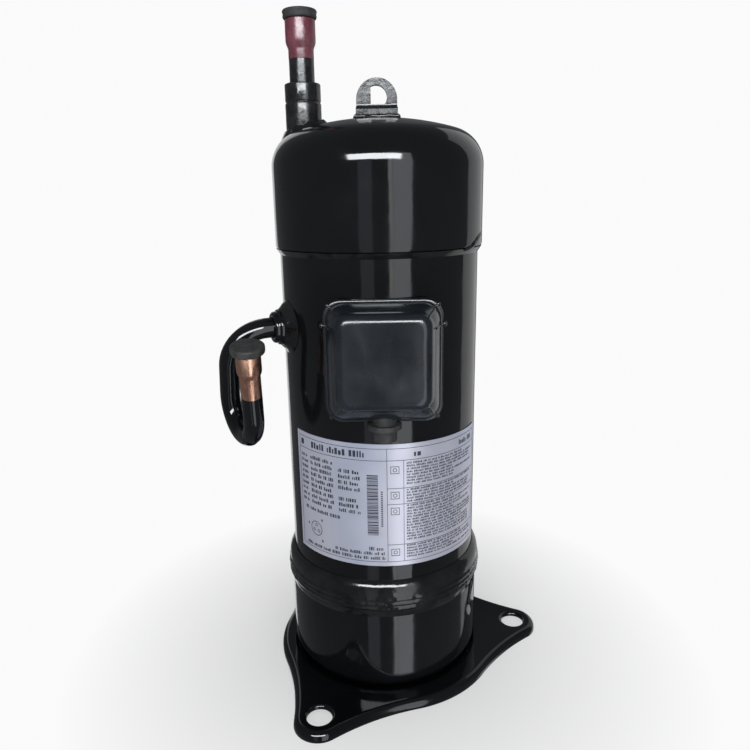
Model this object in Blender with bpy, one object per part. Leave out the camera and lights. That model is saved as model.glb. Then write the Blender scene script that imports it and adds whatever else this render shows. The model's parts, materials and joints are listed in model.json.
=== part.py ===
"""Hermetic refrigeration compressor, scroll type: a tall welded shell on a three-footed base plate.

Metres, +Z up. The origin is the centre of the base plate's underside, on the shell's axis. The
terminal cover faces -Y. Angles called azimuth are measured from -Y towards +X, looking down.
"""

import bmesh
import bpy
import math
from mathutils import Vector

GAP = 0.0003  # between pieces that touch on the real machine
THROUGH = 0.010  # how far a cutter reaches past what it cuts
SHELL_SIDES = 32
SMALL_SIDES = 16
SMALL_PHASE = 4.0  # degrees that small round pieces are turned by, clear of the shell's corners

# Shell
BARREL_RADIUS = 0.080
BARREL_WALL = 0.0036
BARREL_BOTTOM = 0.060
BARREL_HEIGHT = 0.335
BARREL_TOP = BARREL_BOTTOM + BARREL_HEIGHT
CAP_WALL = 0.003
CAP_RADIUS = BARREL_RADIUS + GAP + CAP_WALL
CUP_CORNER_RADIUS = 0.016
CUP_OVERLAP = 0.024
CUP_MOUTH = BARREL_BOTTOM + CUP_OVERLAP
TOP_CAP_OVERLAP = 0.028
TOP_CAP_RIM = BARREL_TOP - TOP_CAP_OVERLAP
TOP_CAP_RISE = 0.069
TOP_CAP_APEX = BARREL_TOP + TOP_CAP_RISE
CROWN_RADIUS = 0.221
KNUCKLE_RADIUS = 0.028
BARREL_BORE = BARREL_RADIUS - BARREL_WALL
INSERT_RADIUS = BARREL_BORE - GAP

# Base plate
PLATE_THICKNESS = 0.004
SKIRT_HEIGHT = 0.008
SKIRT_BEND = 0.005
PLATE_MARGIN = 0.0162
PLATE_RING_RADIUS = CAP_RADIUS + PLATE_MARGIN
FOOT_REACH = 0.0241
FOOT_CIRCLE_RADIUS = PLATE_RING_RADIUS + FOOT_REACH
FOOT_END_RADIUS = 0.0208
FOOT_BLEND_RADIUS = 0.200
FOOT_HOLE_RADIUS = 0.01025
FOOT_AZIMUTHS = (-25.4, 94.6, 214.6)
SEAT_MARGIN = -0.0011
PLATE_SHIFT = Vector((0.003, -0.001))  # the rim is pressed a little off the feet's middle
SEAT_SLOPE = 0.0015

# Seams between the barrel and its caps
SEAM_CREST = 0.003
SEAM_LOW = CUP_MOUTH - 0.007
SEAM_HIGH = CUP_MOUTH + 0.024
UPPER_SEAM_HEIGHT = 0.004

# Lifting lug
LUG_WIDTH = 0.0316
LUG_RISE = 0.029
LUG_TOP = TOP_CAP_APEX + LUG_RISE
LUG_THICKNESS = 0.006
LUG_HOLE_RADIUS = 0.0086
LUG_HOLE_DROP = 0.0138
LUG_HOLE_Z = LUG_TOP - LUG_HOLE_DROP
LUG_HOLE_X = -0.0007
LUG_FLAT = 0.0039
LUG_FOOT_DEPTH = 0.022
LUG_FOOT_TOP = TOP_CAP_APEX + LUG_THICKNESS
LUG_BEND = 0.004
LUG_X = 0.0002

# Name label
LABEL_AZIMUTHS = (-57.5, 71.0)
LABEL_RISE = 0.015
LABEL_HEIGHT = 0.100
LABEL_LOW = SEAM_HIGH + LABEL_RISE
LABEL_THICKNESS = 0.0004
LABEL_SLOPE = -0.00125  # rise per radian: it was stuck on slightly askew

# Suction port
SUCTION_X = -0.0568
SUCTION_TUBE_RADIUS = 0.00955
SUCTION_WALL = 0.00125
SUCTION_BELL_RADIUS = SUCTION_TUBE_RADIUS + 0.0019
SUCTION_FLARE_LENGTH = 0.0045
SUCTION_BELL_LENGTH = 0.0203
SUCTION_SOCKET_WALL = 0.00405
SUCTION_SOCKET_RADIUS = SUCTION_TUBE_RADIUS + GAP + SUCTION_SOCKET_WALL
SUCTION_SOCKET_RISE = 0.026
SUCTION_SOCKET_TOP = TOP_CAP_APEX + SUCTION_SOCKET_RISE
SUCTION_SOCKET_STEP = 0.014
SUCTION_SOCKET_DEPTH = 0.016
SUCTION_WELD_WIDTH = 0.0050
SUCTION_WELD_RADIUS = SUCTION_SOCKET_RADIUS + SUCTION_WELD_WIDTH
SUCTION_NECK = 0.0245
SUCTION_BELL_LOW = SUCTION_SOCKET_TOP + SUCTION_NECK
SUCTION_END = SUCTION_BELL_LOW + SUCTION_BELL_LENGTH
SUCTION_PLUG_RADIUS = SUCTION_BELL_RADIUS + 0.0017
SUCTION_PLUG_HEIGHT = 0.0066
PLUG_DEPTH = 0.014

# Discharge port. Its pipe's corners are measured from where its axis meets the barrel
DISCHARGE_AZIMUTH = -67.0
DISCHARGE_DROP = 0.088
DISCHARGE_Z = BARREL_TOP - DISCHARGE_DROP
DISCHARGE_TUBE_RADIUS = 0.00794
DISCHARGE_WALL = 0.0011
DISCHARGE_DEPTH = 0.006
DISCHARGE_BOSS_WALL = 0.00576
DISCHARGE_BOSS_RADIUS = DISCHARGE_TUBE_RADIUS + GAP + DISCHARGE_BOSS_WALL
DISCHARGE_BOSS_REACH = 0.0125
DISCHARGE_WELD_WIDTH = 0.0076
DISCHARGE_WELD_RADIUS = DISCHARGE_BOSS_RADIUS + DISCHARGE_WELD_WIDTH
DISCHARGE_WELD_REACH = 0.0060
DISCHARGE_ELBOW = Vector((-0.0434, -0.0182, 0.0))
DISCHARGE_FAR_FOOT = Vector((-0.0554, 0.0133, -0.1180))
DISCHARGE_NEAR_FOOT = Vector((-0.0232, -0.0417, -0.0725))
DISCHARGE_TIP = Vector((-0.0215, -0.0574, -0.0080))
DISCHARGE_BENDS = (0.0298, 0.0240, 0.0268)
DISCHARGE_BELL_RADIUS = DISCHARGE_TUBE_RADIUS + 0.00136
DISCHARGE_FLARE_LENGTH = 0.003
DISCHARGE_BELL_LENGTH = 0.015
DISCHARGE_PLUG_RADIUS = DISCHARGE_BELL_RADIUS + 0.0034
DISCHARGE_PLUG_HEIGHT = 0.0060
DISCHARGE_PLUG_DEPTH = 0.011

# Terminals and their cover. A reach is a distance outward from the barrel's surface
TERMINAL_DROP = 0.106
TERMINAL_Z = BARREL_TOP - TERMINAL_DROP
HEADER_RADIUS = 0.017
HEADER_FLANGE_RADIUS = 0.020
HEADER_DEPTH = 0.003
HEADER_REACH = 0.0035
PIN_CIRCLE_RADIUS = 0.0085
PIN_RADIUS = 0.0018
PIN_BEAD_RADIUS = 0.0030
PIN_BEAD_LENGTH = 0.0065
PIN_DEPTH = 0.016
PIN_REACH = 0.020
GUARD_RADIUS = 0.027
GUARD_WALL = 0.002
GUARD_REACH = 0.015
BLOCK_RADIUS = 0.021
BLOCK_STANDOFF = 0.003
BLOCK_THICKNESS = 0.0105
COVER_X = 0.0022
COVER_WALL = 0.0022
COVER_WIDTH = 0.0875
COVER_HEIGHT = 0.0920
COVER_SECTIONS = (  # reach, narrower by, lower by, corner radius, middle raised by
    (-0.020, 0.0, 0.0, 0.013, 0.0),
    (0.004, 0.0025, 0.0015, 0.014, 0.0),
    (0.023, 0.0185, 0.0220, 0.012, 0.0035),
    (0.029, 0.0235, 0.0280, 0.010, 0.0050),
    (0.032, 0.0305, 0.0350, 0.007, 0.0055),
)
COVER_BOTTOM = TERMINAL_Z - COVER_HEIGHT / 2
GASKET_THICKNESS = 0.0015
GASKET_WIDTH = 0.006
GROMMET_WIDTH = 0.0260
GROMMET_DEPTH = 0.0145
GROMMET_STANDOFF = 0.0008
GROMMET_FLANGE_WIDTH = 0.0035
GROMMET_FLANGE_HEIGHT = 0.004
GROMMET_FLANGE_TOP = COVER_BOTTOM - 0.0008
GROMMET_FLANGE_LOW = GROMMET_FLANGE_TOP - GROMMET_FLANGE_HEIGHT
GROMMET_NOZZLE = 0.0092
GROMMET_BOTTOM = GROMMET_FLANGE_LOW - GROMMET_NOZZLE
GROMMET_TOP = COVER_BOTTOM + 0.013
CABLE_HOLE_RADIUS = 0.0038
CABLE_HOLE_REACH = 0.006

# Scroll set, downward from the barrel's top
TOP_MARGIN = 0.001
FIXED_PLATE_HIGH = BARREL_TOP - TOP_MARGIN
FIXED_PLATE_THICKNESS = 0.012
FIXED_PLATE_LOW = FIXED_PLATE_HIGH - FIXED_PLATE_THICKNESS
SCROLL_CHAMBER_HEIGHT = 0.026
HOUSING_TOP = FIXED_PLATE_LOW - SCROLL_CHAMBER_HEIGHT
ORBITING_PLATE_THICKNESS = 0.010
ORBITING_PLATE_HIGH = HOUSING_TOP - 0.001
ORBITING_PLATE_LOW = ORBITING_PLATE_HIGH - ORBITING_PLATE_THICKNESS
THRUST_FACE = ORBITING_PLATE_LOW - GAP
OLDHAM_THICKNESS = 0.0054
OLDHAM_ROOM = 0.0013
RECESS_FLOOR = THRUST_FACE - OLDHAM_THICKNESS - OLDHAM_ROOM
CHAMBER_DEPTH = 0.0202
CHAMBER_FLOOR = THRUST_FACE - CHAMBER_DEPTH
HOUSING_FLOOR = 0.0035
HOUSING_LOW = CHAMBER_FLOOR - HOUSING_FLOOR
MAIN_BEARING_LENGTH = 0.028
END_ROOM = 0.0005
SHAFT_TOP = CHAMBER_FLOOR - END_ROOM
HOUSING_HUB_LOW = SHAFT_TOP - MAIN_BEARING_LENGTH

# Crankshaft and its bearings
JOURNAL_LOW_RADIUS = 0.011
SHAFT_RADIUS = 0.014
SHAFT_UPPER_RADIUS = 0.0155
JOURNAL_MAIN_RADIUS = 0.017
JOURNAL_RELIEF = 0.004
ORBIT = 0.005
CRANK_PIN_RADIUS = 0.0093
CRANK_PIN_TOP = ORBITING_PLATE_LOW - 0.002
ECCENTRIC_LOW = SHAFT_TOP + 0.002
OIL_BORE_RADIUS = 0.003
BUSH_WALL = 0.0027
BUSH_FIT = 2 * GAP + BUSH_WALL  # from a journal to the bore that holds its bush
PICKUP_RADIUS = 0.008
PICKUP_TIP_RADIUS = 0.0044
PICKUP_WALL = 0.0015
PICKUP_BOTTOM = 0.013
PICKUP_TAPER = 0.020
LOWER_HUB_RADIUS = 0.024
LOWER_HUB_RISE = 0.020
LOWER_HUB_LOW = BARREL_BOTTOM + LOWER_HUB_RISE
LOWER_HUB_HEIGHT = 0.030
LOWER_HUB_HIGH = LOWER_HUB_LOW + LOWER_HUB_HEIGHT
LOWER_PLATE_THICKNESS = 0.012
LOWER_PLATE_LOW = LOWER_HUB_LOW + 0.012
LOWER_PLATE_HIGH = LOWER_PLATE_LOW + LOWER_PLATE_THICKNESS
WINDOW_RIM = 0.009
WINDOW_HUB = 0.005
SHAFT_BOTTOM = LOWER_HUB_LOW - 0.006
WASHER_THICKNESS = 0.0027
WASHER_WIDTH = 0.008
SHOULDER_Z = LOWER_HUB_HIGH + 2 * GAP + WASHER_THICKNESS

# Motor
STACK_RISE = 0.030
STACK_LOW = LOWER_HUB_HIGH + STACK_RISE
STACK_LENGTH = 0.096
STACK_HIGH = STACK_LOW + STACK_LENGTH
STATOR_BORE = 0.042
AIR_GAP = 0.0007
ROTOR_RADIUS = STATOR_BORE - AIR_GAP
SLOTS = 12
SLOT_HALF_ANGLE = 8.0
SLOT_NECK_HALF_ANGLE = 2.5
SLOT_NECK_DEPTH = 0.004
SLOT_DEPTH = 0.016
SLOT_RADII = (STATOR_BORE + SLOT_NECK_DEPTH, STATOR_BORE + SLOT_NECK_DEPTH + SLOT_DEPTH)
COIL_RADII = (STATOR_BORE + 0.0035, SLOT_RADII[1] + 0.007)
COIL_CLEARANCE = 0.0004
COIL_HIGH = STACK_HIGH + 0.026
COIL_LOW = STACK_LOW - 0.022
ROTOR_BAR_RADII = (ROTOR_RADIUS - 0.0083, ROTOR_RADIUS - 0.0023)
ROTOR_BAR_HALF_ANGLE = 5.0
CAGE_RADII = (ROTOR_BAR_RADII[0] - 0.007, ROTOR_RADIUS - 0.0013)
CAGE_RING_HEIGHT = 0.0117
WEIGHT_HEIGHT = 0.0124
WEIGHT_RADIUS = ROTOR_RADIUS - 0.0023
LEAD_RADIUS = 0.0014
LEAD_RISE = 0.006
LEAD_SPREAD = 1.6

# Scrolls and main housing, outward from the crank pin
ORBITING_HUB_WALL = 0.004
ORBITING_HUB_BORE = CRANK_PIN_RADIUS + BUSH_FIT
ORBITING_HUB_RADIUS = ORBITING_HUB_BORE + ORBITING_HUB_WALL
CHAMBER_RADIUS = ORBITING_HUB_RADIUS + ORBIT + 0.0029
THRUST_LAND = 0.013
THRUST_RADIUS = CHAMBER_RADIUS + THRUST_LAND
OLDHAM_WIDTH = 0.010
OLDHAM_BORE = THRUST_RADIUS + ORBIT + 0.001
OLDHAM_RADII = (OLDHAM_BORE, OLDHAM_BORE + OLDHAM_WIDTH)
RECESS_RADIUS = OLDHAM_RADII[1] + ORBIT + 0.0025
ORBITING_PLATE_RADIUS = OLDHAM_RADII[1] + 0.0005
FIXED_WALL_RADIUS = ORBITING_PLATE_RADIUS + ORBIT + 0.003
HOUSING_HUB_WALL = 0.0097
HOUSING_HUB_RADIUS = JOURNAL_MAIN_RADIUS + BUSH_FIT + HOUSING_HUB_WALL
HOUSING_CONE_HEIGHT = 0.006
HOUSING_SHOULDER = 0.012
INVOLUTE_BASE = 0.0029
WRAP_CLEARANCE = 0.00035
WRAP_START = 200.0
WRAP_END = 824.0
WRAP_STEP = 12.0
DISCHARGE_HOLE_RADIUS = 0.005
SEAL_WALL = 0.00205
SEAL_RADIUS = SUCTION_TUBE_RADIUS + 2 * GAP + SEAL_WALL
SEAL_DEPTH = 0.006
SEAL_HEIGHT = 0.0039
BOLT_INSET = 0.0071
BOLT_CIRCLE_RADIUS = INSERT_RADIUS - BOLT_INSET
BOLT_COUNT = 6
BOLT_RADIUS = 0.0029
BOLT_HEAD_RADIUS = 0.005
BOLT_HEAD_HEIGHT = 0.005
BOLT_GRIP = 0.020
BOLT_BOTTOM = HOUSING_TOP - BOLT_GRIP
BOLT_HOLE_DEPTH = 0.002
GAS_PASSAGE_WIDTH = 0.016
GAS_PASSAGE_DEPTH = 0.006

# Oldham ring's keys
KEY_SIZE = 0.008
KEY_HEIGHT = 0.004
KEY_CLEARANCE = 0.0003
KEY_SINK = 0.002

# Discharge valve
VALVE_RADIUS = 0.008
VALVE_THICKNESS = 0.0012
VALVE_LIFT = 0.0025
GUIDE_WALL = 0.0044
GUIDE_RADIUS = VALVE_RADIUS + 2 * GAP + GUIDE_WALL
GUIDE_CEILING = 0.002
GUIDE_VENT_RADIUS = 0.004
MUFFLER_RADIUS = 0.040
MUFFLER_HEIGHT = 0.026
MUFFLER_WALL = 0.0018
MUFFLER_FLANGE = 0.008
MUFFLER_VENT_RADIUS = 0.005


# ---------------------------------------------------------------- materials


def finish(name, colour, metallic, roughness):
    """A Principled BSDF material."""
    material = bpy.data.materials.new(name)
    material.use_nodes = True
    shader = material.node_tree.nodes["Principled BSDF"]
    shader.inputs["Base Color"].default_value = (*colour, 1.0)
    shader.inputs["Metallic"].default_value = metallic
    shader.inputs["Roughness"].default_value = roughness
    return material


def make_finishes():
    return {
        "enamel": finish("black_enamel", (0.012, 0.012, 0.014), 0.0, 0.12),
        "copper": finish("copper", (0.72, 0.33, 0.20), 1.0, 0.35),
        "maroon": finish("maroon_paint", (0.20, 0.03, 0.05), 0.0, 0.35),
        "rubber": finish("black_rubber", (0.03, 0.03, 0.032), 0.0, 0.75),
        "plastic": finish("cover_plastic", (0.02, 0.022, 0.026), 0.0, 0.35),
        "label": finish("label_foil", (0.52, 0.56, 0.62), 0.3, 0.4),
        "steel": finish("machined_steel", (0.55, 0.55, 0.56), 1.0, 0.3),
        "iron": finish("cast_iron", (0.22, 0.22, 0.23), 0.8, 0.55),
        "aluminium": finish("cast_aluminium", (0.66, 0.67, 0.68), 1.0, 0.45),
        "lamination": finish("electrical_steel", (0.30, 0.31, 0.33), 0.9, 0.45),
        "winding": finish("enamelled_wire", (0.55, 0.20, 0.06), 0.4, 0.4),
        "bronze": finish("bearing_bronze", (0.55, 0.36, 0.14), 1.0, 0.35),
        "phenolic": finish("phenolic", (0.05, 0.035, 0.03), 0.0, 0.5),
        "brass": finish("brass", (0.75, 0.56, 0.25), 1.0, 0.3),
    }


# ---------------------------------------------------------------- tools


def azimuth_direction(azimuth):
    angle = math.radians(azimuth)
    return Vector((math.sin(angle), -math.cos(angle), 0.0))


def arc(centre, radius, start, end, steps):
    """Points along a circle from one angle to another, in degrees."""
    points = []
    for step in range(steps + 1):
        angle = math.radians(start + (end - start) * step / steps)
        points.append((centre[0] + radius * math.cos(angle), centre[1] + radius * math.sin(angle)))
    return points


def circle(radius, sides, centre=(0.0, 0.0)):
    """Corners of a round outline. Only the shell's own have one on the X axis."""
    phase = 0.0 if sides == SHELL_SIDES else SMALL_PHASE
    return arc(centre, radius, phase, phase + 360.0, sides)[:-1]


def rounded_rectangle(width, height, radius, steps=3):
    points = []
    corners = ((1, 1, 0), (-1, 1, 90), (-1, -1, 180), (1, -1, 270))
    for across, up, start in corners:
        centre = (across * (width / 2 - radius), up * (height / 2 - radius))
        points += arc(centre, radius, start, start + 90, steps)
    return points


def place(name, shape, material, location=(0.0, 0.0, 0.0), direction=None):
    """Turns a bmesh into an object, its own Z axis along a direction."""
    bmesh.ops.recalc_face_normals(shape, faces=shape.faces)
    mesh = bpy.data.meshes.new(name)
    shape.to_mesh(mesh)
    shape.free()
    mesh.shade_smooth()
    mesh.set_sharp_from_angle(angle=math.radians(35))
    if material:
        mesh.materials.append(material)
    body = bpy.data.objects.new(name, mesh)
    body.location = location
    if direction is not None:
        body.rotation_mode = "QUATERNION"
        body.rotation_quaternion = Vector((0, 0, 1)).rotation_difference(Vector(direction))
    bpy.context.scene.collection.objects.link(body)
    return body


def skin(shape, loops, closed=True):
    """Faces between neighbouring loops of equal length, and from the last back to the first."""
    pairs = list(zip(loops, loops[1:]))
    if closed:
        pairs.append((loops[-1], loops[0]))
    for first, second in pairs:
        if len(first) == 1 and len(second) == 1:
            continue
        count = max(len(first), len(second))
        for index in range(count):
            after = (index + 1) % count
            corners = [first[index % len(first)], first[after % len(first)]]
            corners += [second[after % len(second)], second[index % len(second)]]
            shape.faces.new(list(dict.fromkeys(corners)))


def turned_shape(profile, sides):
    """A closed (radius, height) outline turned round the Z axis."""
    shape = bmesh.new()
    loops = []
    for radius, height in profile:
        if radius == 0.0:
            loops.append([shape.verts.new((0, 0, height))])
        else:
            loops.append([shape.verts.new((x, y, height)) for x, y in circle(radius, sides)])
    skin(shape, loops)
    return shape


def turned(name, profile, material, location=(0, 0, 0), direction=None, sides=SMALL_SIDES):
    return place(name, turned_shape(profile, sides), material, location, direction)


def tube(name, inner, outer, low, high, material, sides=SMALL_SIDES):
    profile = [(inner, low), (outer, low), (outer, high), (inner, high)]
    return turned(name, profile, material, sides=sides)


def slab_shape(outline, low, high, holes=()):
    """A flat outline with holes, extruded along Z."""
    shape = bmesh.new()
    edges = []
    for loop in (outline, *holes):
        corners = [shape.verts.new((x, y, low)) for x, y in loop]
        edges += [shape.edges.new(pair) for pair in zip(corners, corners[1:] + corners[:1])]
    bmesh.ops.triangle_fill(shape, use_beauty=True, use_dissolve=False, edges=edges)
    grown = bmesh.ops.extrude_face_region(shape, geom=shape.faces[:])["geom"]
    moved = [item for item in grown if isinstance(item, bmesh.types.BMVert)]
    bmesh.ops.translate(shape, vec=(0, 0, high - low), verts=moved)
    return shape


def slab(name, outline, low, high, material, holes=(), location=(0, 0, 0), direction=None):
    return place(name, slab_shape(outline, low, high, holes), material, location, direction)


def combine(body, tool, operation):
    """A Boolean with a helper object, which stays out of the model."""
    tool.hide_render = True
    tool.display_type = "WIRE"
    modifier = body.modifiers.new(f"{operation.lower()}_{tool.name}", "BOOLEAN")
    modifier.operation = operation
    modifier.solver = "EXACT"
    modifier.object = tool
    return body


def cut(body, tool):
    return combine(body, tool, "DIFFERENCE")


def box(name, low, high, location=(0, 0, 0)):
    outline = [(low[0], low[1]), (high[0], low[1]), (high[0], high[1]), (low[0], high[1])]
    return slab(name, outline, low[2], high[2], None, location=location)


def rod(name, radius, low, high, location=(0, 0, 0), direction=None, sides=SMALL_SIDES):
    """A plain cylinder, for a cutter or a joined-on stub."""
    profile = [(0.0, low), (radius, low), (radius, high), (0.0, high)]
    return turned(name, profile, None, location, direction, sides)


# ---------------------------------------------------------------- base plate


def plate_outline(inset):
    """The three-lobed outline, pulled in by a distance. Its arcs keep their centres."""
    ring = PLATE_RING_RADIUS - inset
    foot = FOOT_END_RADIUS - inset
    blend = FOOT_BLEND_RADIUS + inset
    to_blend = PLATE_RING_RADIUS + FOOT_BLEND_RADIUS
    foot_to_blend = FOOT_END_RADIUS + FOOT_BLEND_RADIUS
    lobes = []
    for centre in foot_centres():
        reach = (centre.xy - PLATE_SHIFT).length
        heading = math.degrees(math.atan2(centre.y - PLATE_SHIFT.y, centre.x - PLATE_SHIFT.x))
        at_ring = (to_blend**2 + reach**2 - foot_to_blend**2) / (2 * to_blend * reach)
        at_foot = (foot_to_blend**2 + reach**2 - to_blend**2) / (2 * foot_to_blend * reach)
        spread = math.degrees(math.acos(at_ring))
        lobes.append((centre, heading, spread, 180 - math.degrees(math.acos(at_foot))))
    points = []
    for number, (centre, heading, spread, turn) in enumerate(lobes):
        for side in (-1, 1):
            middle = arc(PLATE_SHIFT, to_blend, heading + side * spread, heading, 1)[0]
            inward = heading + side * (spread + 180)
            blend_arc = arc(middle, blend, inward, inward + side * (turn - spread), 3)
            if side < 0:
                points += blend_arc[:-1] + arc(centre, foot, heading - turn, heading + turn, 8)
            else:
                points += blend_arc[::-1][1:]
        _, next_heading, next_spread, _ = lobes[(number + 1) % len(lobes)]
        gap = (next_heading - next_spread - heading - spread) % 360
        points += arc(PLATE_SHIFT, ring, heading + spread, heading + spread + gap, 4)[1:-1]
    return points


def foot_centres():
    return [azimuth_direction(azimuth) * FOOT_CIRCLE_RADIUS for azimuth in FOOT_AZIMUTHS]


def make_base_plate(material):
    """A pressed plate with a turned-down rim, three foot holes and a seat pressed down for the cup."""
    shape = bmesh.new()

    def ring(points, height):
        corners = [shape.verts.new((x, y, height)) for x, y in points]
        edges = [shape.edges.new(pair) for pair in zip(corners, corners[1:] + corners[:1])]
        return corners, edges

    under = SKIRT_HEIGHT - PLATE_THICKNESS
    wall = SKIRT_BEND - 0.0016
    rim = ((SKIRT_BEND, SKIRT_HEIGHT), (0.0016, SKIRT_HEIGHT - 0.0011), (0.0, SKIRT_HEIGHT - 0.0044))
    rim += ((0.0, 0.0), (wall, 0.0), (wall, under - 0.0012), (SKIRT_BEND, under))
    rims = [ring(plate_outline(inset), height) for inset, height in rim]
    skin(shape, [corners for corners, _ in rims], closed=False)
    top_edges = list(rims[0][1])
    under_edges = list(rims[-1][1])
    for centre in foot_centres():
        hole = circle(FOOT_HOLE_RADIUS, SMALL_SIDES, centre[:2])
        top, top_ring = ring(hole, SKIRT_HEIGHT)
        low, low_ring = ring(hole, under)
        skin(shape, [top, low], closed=False)
        top_edges += top_ring
        under_edges += low_ring
    seat = CAP_RADIUS + SEAT_MARGIN
    seat_top, seat_top_edges = ring(circle(seat, SHELL_SIDES), SKIRT_HEIGHT)
    seat_floor, _ = ring(circle(seat - SEAT_SLOPE, SHELL_SIDES), PLATE_THICKNESS)
    around = seat + PLATE_THICKNESS
    seat_low, seat_low_edges = ring(circle(around, SHELL_SIDES), under)
    seat_under, _ = ring(circle(around - SEAT_SLOPE, SHELL_SIDES), 0.0)
    skin(shape, [seat_top, seat_floor], closed=False)
    skin(shape, [seat_low, seat_under], closed=False)
    shape.faces.new(seat_floor)
    shape.faces.new(seat_under)
    for edges in (top_edges + seat_top_edges, under_edges + seat_low_edges):
        bmesh.ops.triangle_fill(shape, use_beauty=True, use_dissolve=False, edges=edges)
    return place("base_plate", shape, material)


# ---------------------------------------------------------------- shell


def dome_profile(radius, crown, knuckle, apex, rim, steps=4):
    """Half outline of a dished cap, from its rim up the side and over to the apex."""
    turn = math.degrees(math.acos((radius - knuckle) / (crown - knuckle)))
    crown_centre = apex - crown
    knuckle_z = crown_centre + math.sqrt((crown - knuckle) ** 2 - (radius - knuckle) ** 2)
    points = [(radius, rim)]
    points += arc((radius - knuckle, knuckle_z), knuckle, 0, turn, steps)
    points += arc((0, crown_centre), crown, turn, 90, 3)[1:-1]
    return points + [(0.0, apex)]


def top_cap_outline(offset, rim):
    radius = CAP_RADIUS + offset
    crown = CROWN_RADIUS + offset
    knuckle = KNUCKLE_RADIUS + offset
    return dome_profile(radius, crown, knuckle, TOP_CAP_APEX + offset, rim)


def make_top_cap(material):
    outer = top_cap_outline(0.0, TOP_CAP_RIM)
    inner = top_cap_outline(-CAP_WALL, TOP_CAP_RIM)
    cap = turned("top_cap", outer + inner[::-1], material, sides=SHELL_SIDES)
    low = TOP_CAP_APEX - KNUCKLE_RADIUS - THROUGH
    radius = SUCTION_SOCKET_RADIUS + GAP
    hole = rod("top_cap_hole", radius, low, TOP_CAP_APEX + THROUGH, (SUCTION_X, 0, 0))
    return cut(cap, hole)


def dome_cutter():
    """The space above which a piece may stand on the top cap."""
    outline = top_cap_outline(GAP, TOP_CAP_RIM)
    return turned("dome_clearance", outline + [(0.0, TOP_CAP_RIM)], None, sides=SHELL_SIDES)


def barrel_cutter(name, radius, middle, half):
    """The barrel's own round, over a stretch of its height."""
    low = middle - half - THROUGH
    return rod(name, radius, low, middle + half + THROUGH, sides=SHELL_SIDES)


def make_bottom_cap(material):
    floor = PLATE_THICKNESS + GAP
    bend = CUP_CORNER_RADIUS
    outer = [(0.0, floor)] + arc((CAP_RADIUS - bend, floor + bend), bend, -90, 0, 4)
    inner_radius = CAP_RADIUS - CAP_WALL
    inner_bend = bend - CAP_WALL
    inner = arc((inner_radius - inner_bend, floor + bend), inner_bend, 0, -90, 4)
    profile = outer + [(CAP_RADIUS, CUP_MOUTH), (inner_radius, CUP_MOUTH)] + inner
    return turned("bottom_cap", profile + [(0.0, floor + CAP_WALL)], material, sides=SHELL_SIDES)


def make_barrel(material):
    barrel = tube(
        "barrel", BARREL_BORE, BARREL_RADIUS, BARREL_BOTTOM, BARREL_TOP, material, SHELL_SIDES
    )
    start = BARREL_BORE - THROUGH
    reach = BARREL_RADIUS + THROUGH
    at = (0, 0, TERMINAL_Z)
    header = rod("header_hole", HEADER_RADIUS + GAP, start, reach, at, (0, -1, 0), 20)
    out = azimuth_direction(DISCHARGE_AZIMUTH)
    at = (0, 0, DISCHARGE_Z)
    boss = rod("boss_hole", DISCHARGE_BOSS_RADIUS + GAP, start, reach, at, out)
    return cut(cut(barrel, header), boss)


def make_seams(material):
    """The welded seams: a wide bead over the cup's mouth, and a fillet under the top cap's rim."""
    inside = BARREL_RADIUS + GAP
    around = CAP_RADIUS + GAP
    crest = CAP_RADIUS + SEAM_CREST
    middle = CUP_MOUTH + GAP
    outer = [(around, SEAM_LOW), (crest - 0.0012, middle - 0.0015), (crest, middle + 0.0045)]
    outer += [(crest - 0.0014, middle + 0.0115), (inside + 0.0018, SEAM_HIGH - 0.006)]
    profile = outer + [(inside, SEAM_HIGH), (inside, middle), (around, middle)]
    turned("lower_seam_weld", profile, material, sides=SHELL_SIDES)
    rim = TOP_CAP_RIM - GAP
    profile = [(inside, rim - UPPER_SEAM_HEIGHT), (CAP_RADIUS, rim), (inside, rim)]
    turned("upper_seam_weld", profile, material, sides=SHELL_SIDES)


# ---------------------------------------------------------------- lifting lug and label


def make_lifting_lug(material):
    """An angle bracket: an arched upright with a D-shaped eye, and a foot towards the front."""
    half = LUG_WIDTH / 2
    top = arc((0.0, LUG_TOP - half), half, 0, 180, 10)
    outline = [(-half, LUG_FOOT_TOP - 0.003), (half, LUG_FOOT_TOP - 0.003)] + top
    flat = math.degrees(math.acos(-LUG_FLAT / LUG_HOLE_RADIUS))
    eye = arc((LUG_HOLE_X, LUG_HOLE_Z), LUG_HOLE_RADIUS, -flat, flat, 14)
    at = (LUG_X, 0.0, 0.0)
    lug = slab("lifting_lug", outline, 0.0, LUG_THICKNESS, material, [eye], at)
    lug.rotation_euler = (math.pi / 2, 0, 0)
    floor = TOP_CAP_APEX - LUG_THICKNESS
    front = LUG_THICKNESS - LUG_FOOT_DEPTH
    corner = LUG_FOOT_TOP + LUG_BEND
    bend = arc((-LUG_THICKNESS - LUG_BEND, corner), LUG_BEND, -90, 0, 3)
    side = [(front - LUG_THICKNESS, floor), (0.0, floor), (0.0, corner)]
    side += bend[::-1] + [(front - LUG_THICKNESS, LUG_FOOT_TOP)]
    foot = slab("lug_foot", side, -half, half, None)
    foot.rotation_euler = (math.pi / 2, 0, math.pi / 2)
    foot.location = (LUG_X, 0.0, 0.0)
    return cut(combine(lug, foot, "UNION"), bpy.data.objects["dome_clearance"])


def chord_radius(angle, radius):
    """Distance from the axis to a flat side of a turned piece, at an angle in degrees."""
    side = 360.0 / SHELL_SIDES
    from_middle = (angle % side) - side / 2
    return radius * math.cos(math.radians(side / 2)) / math.cos(math.radians(from_middle))


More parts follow.
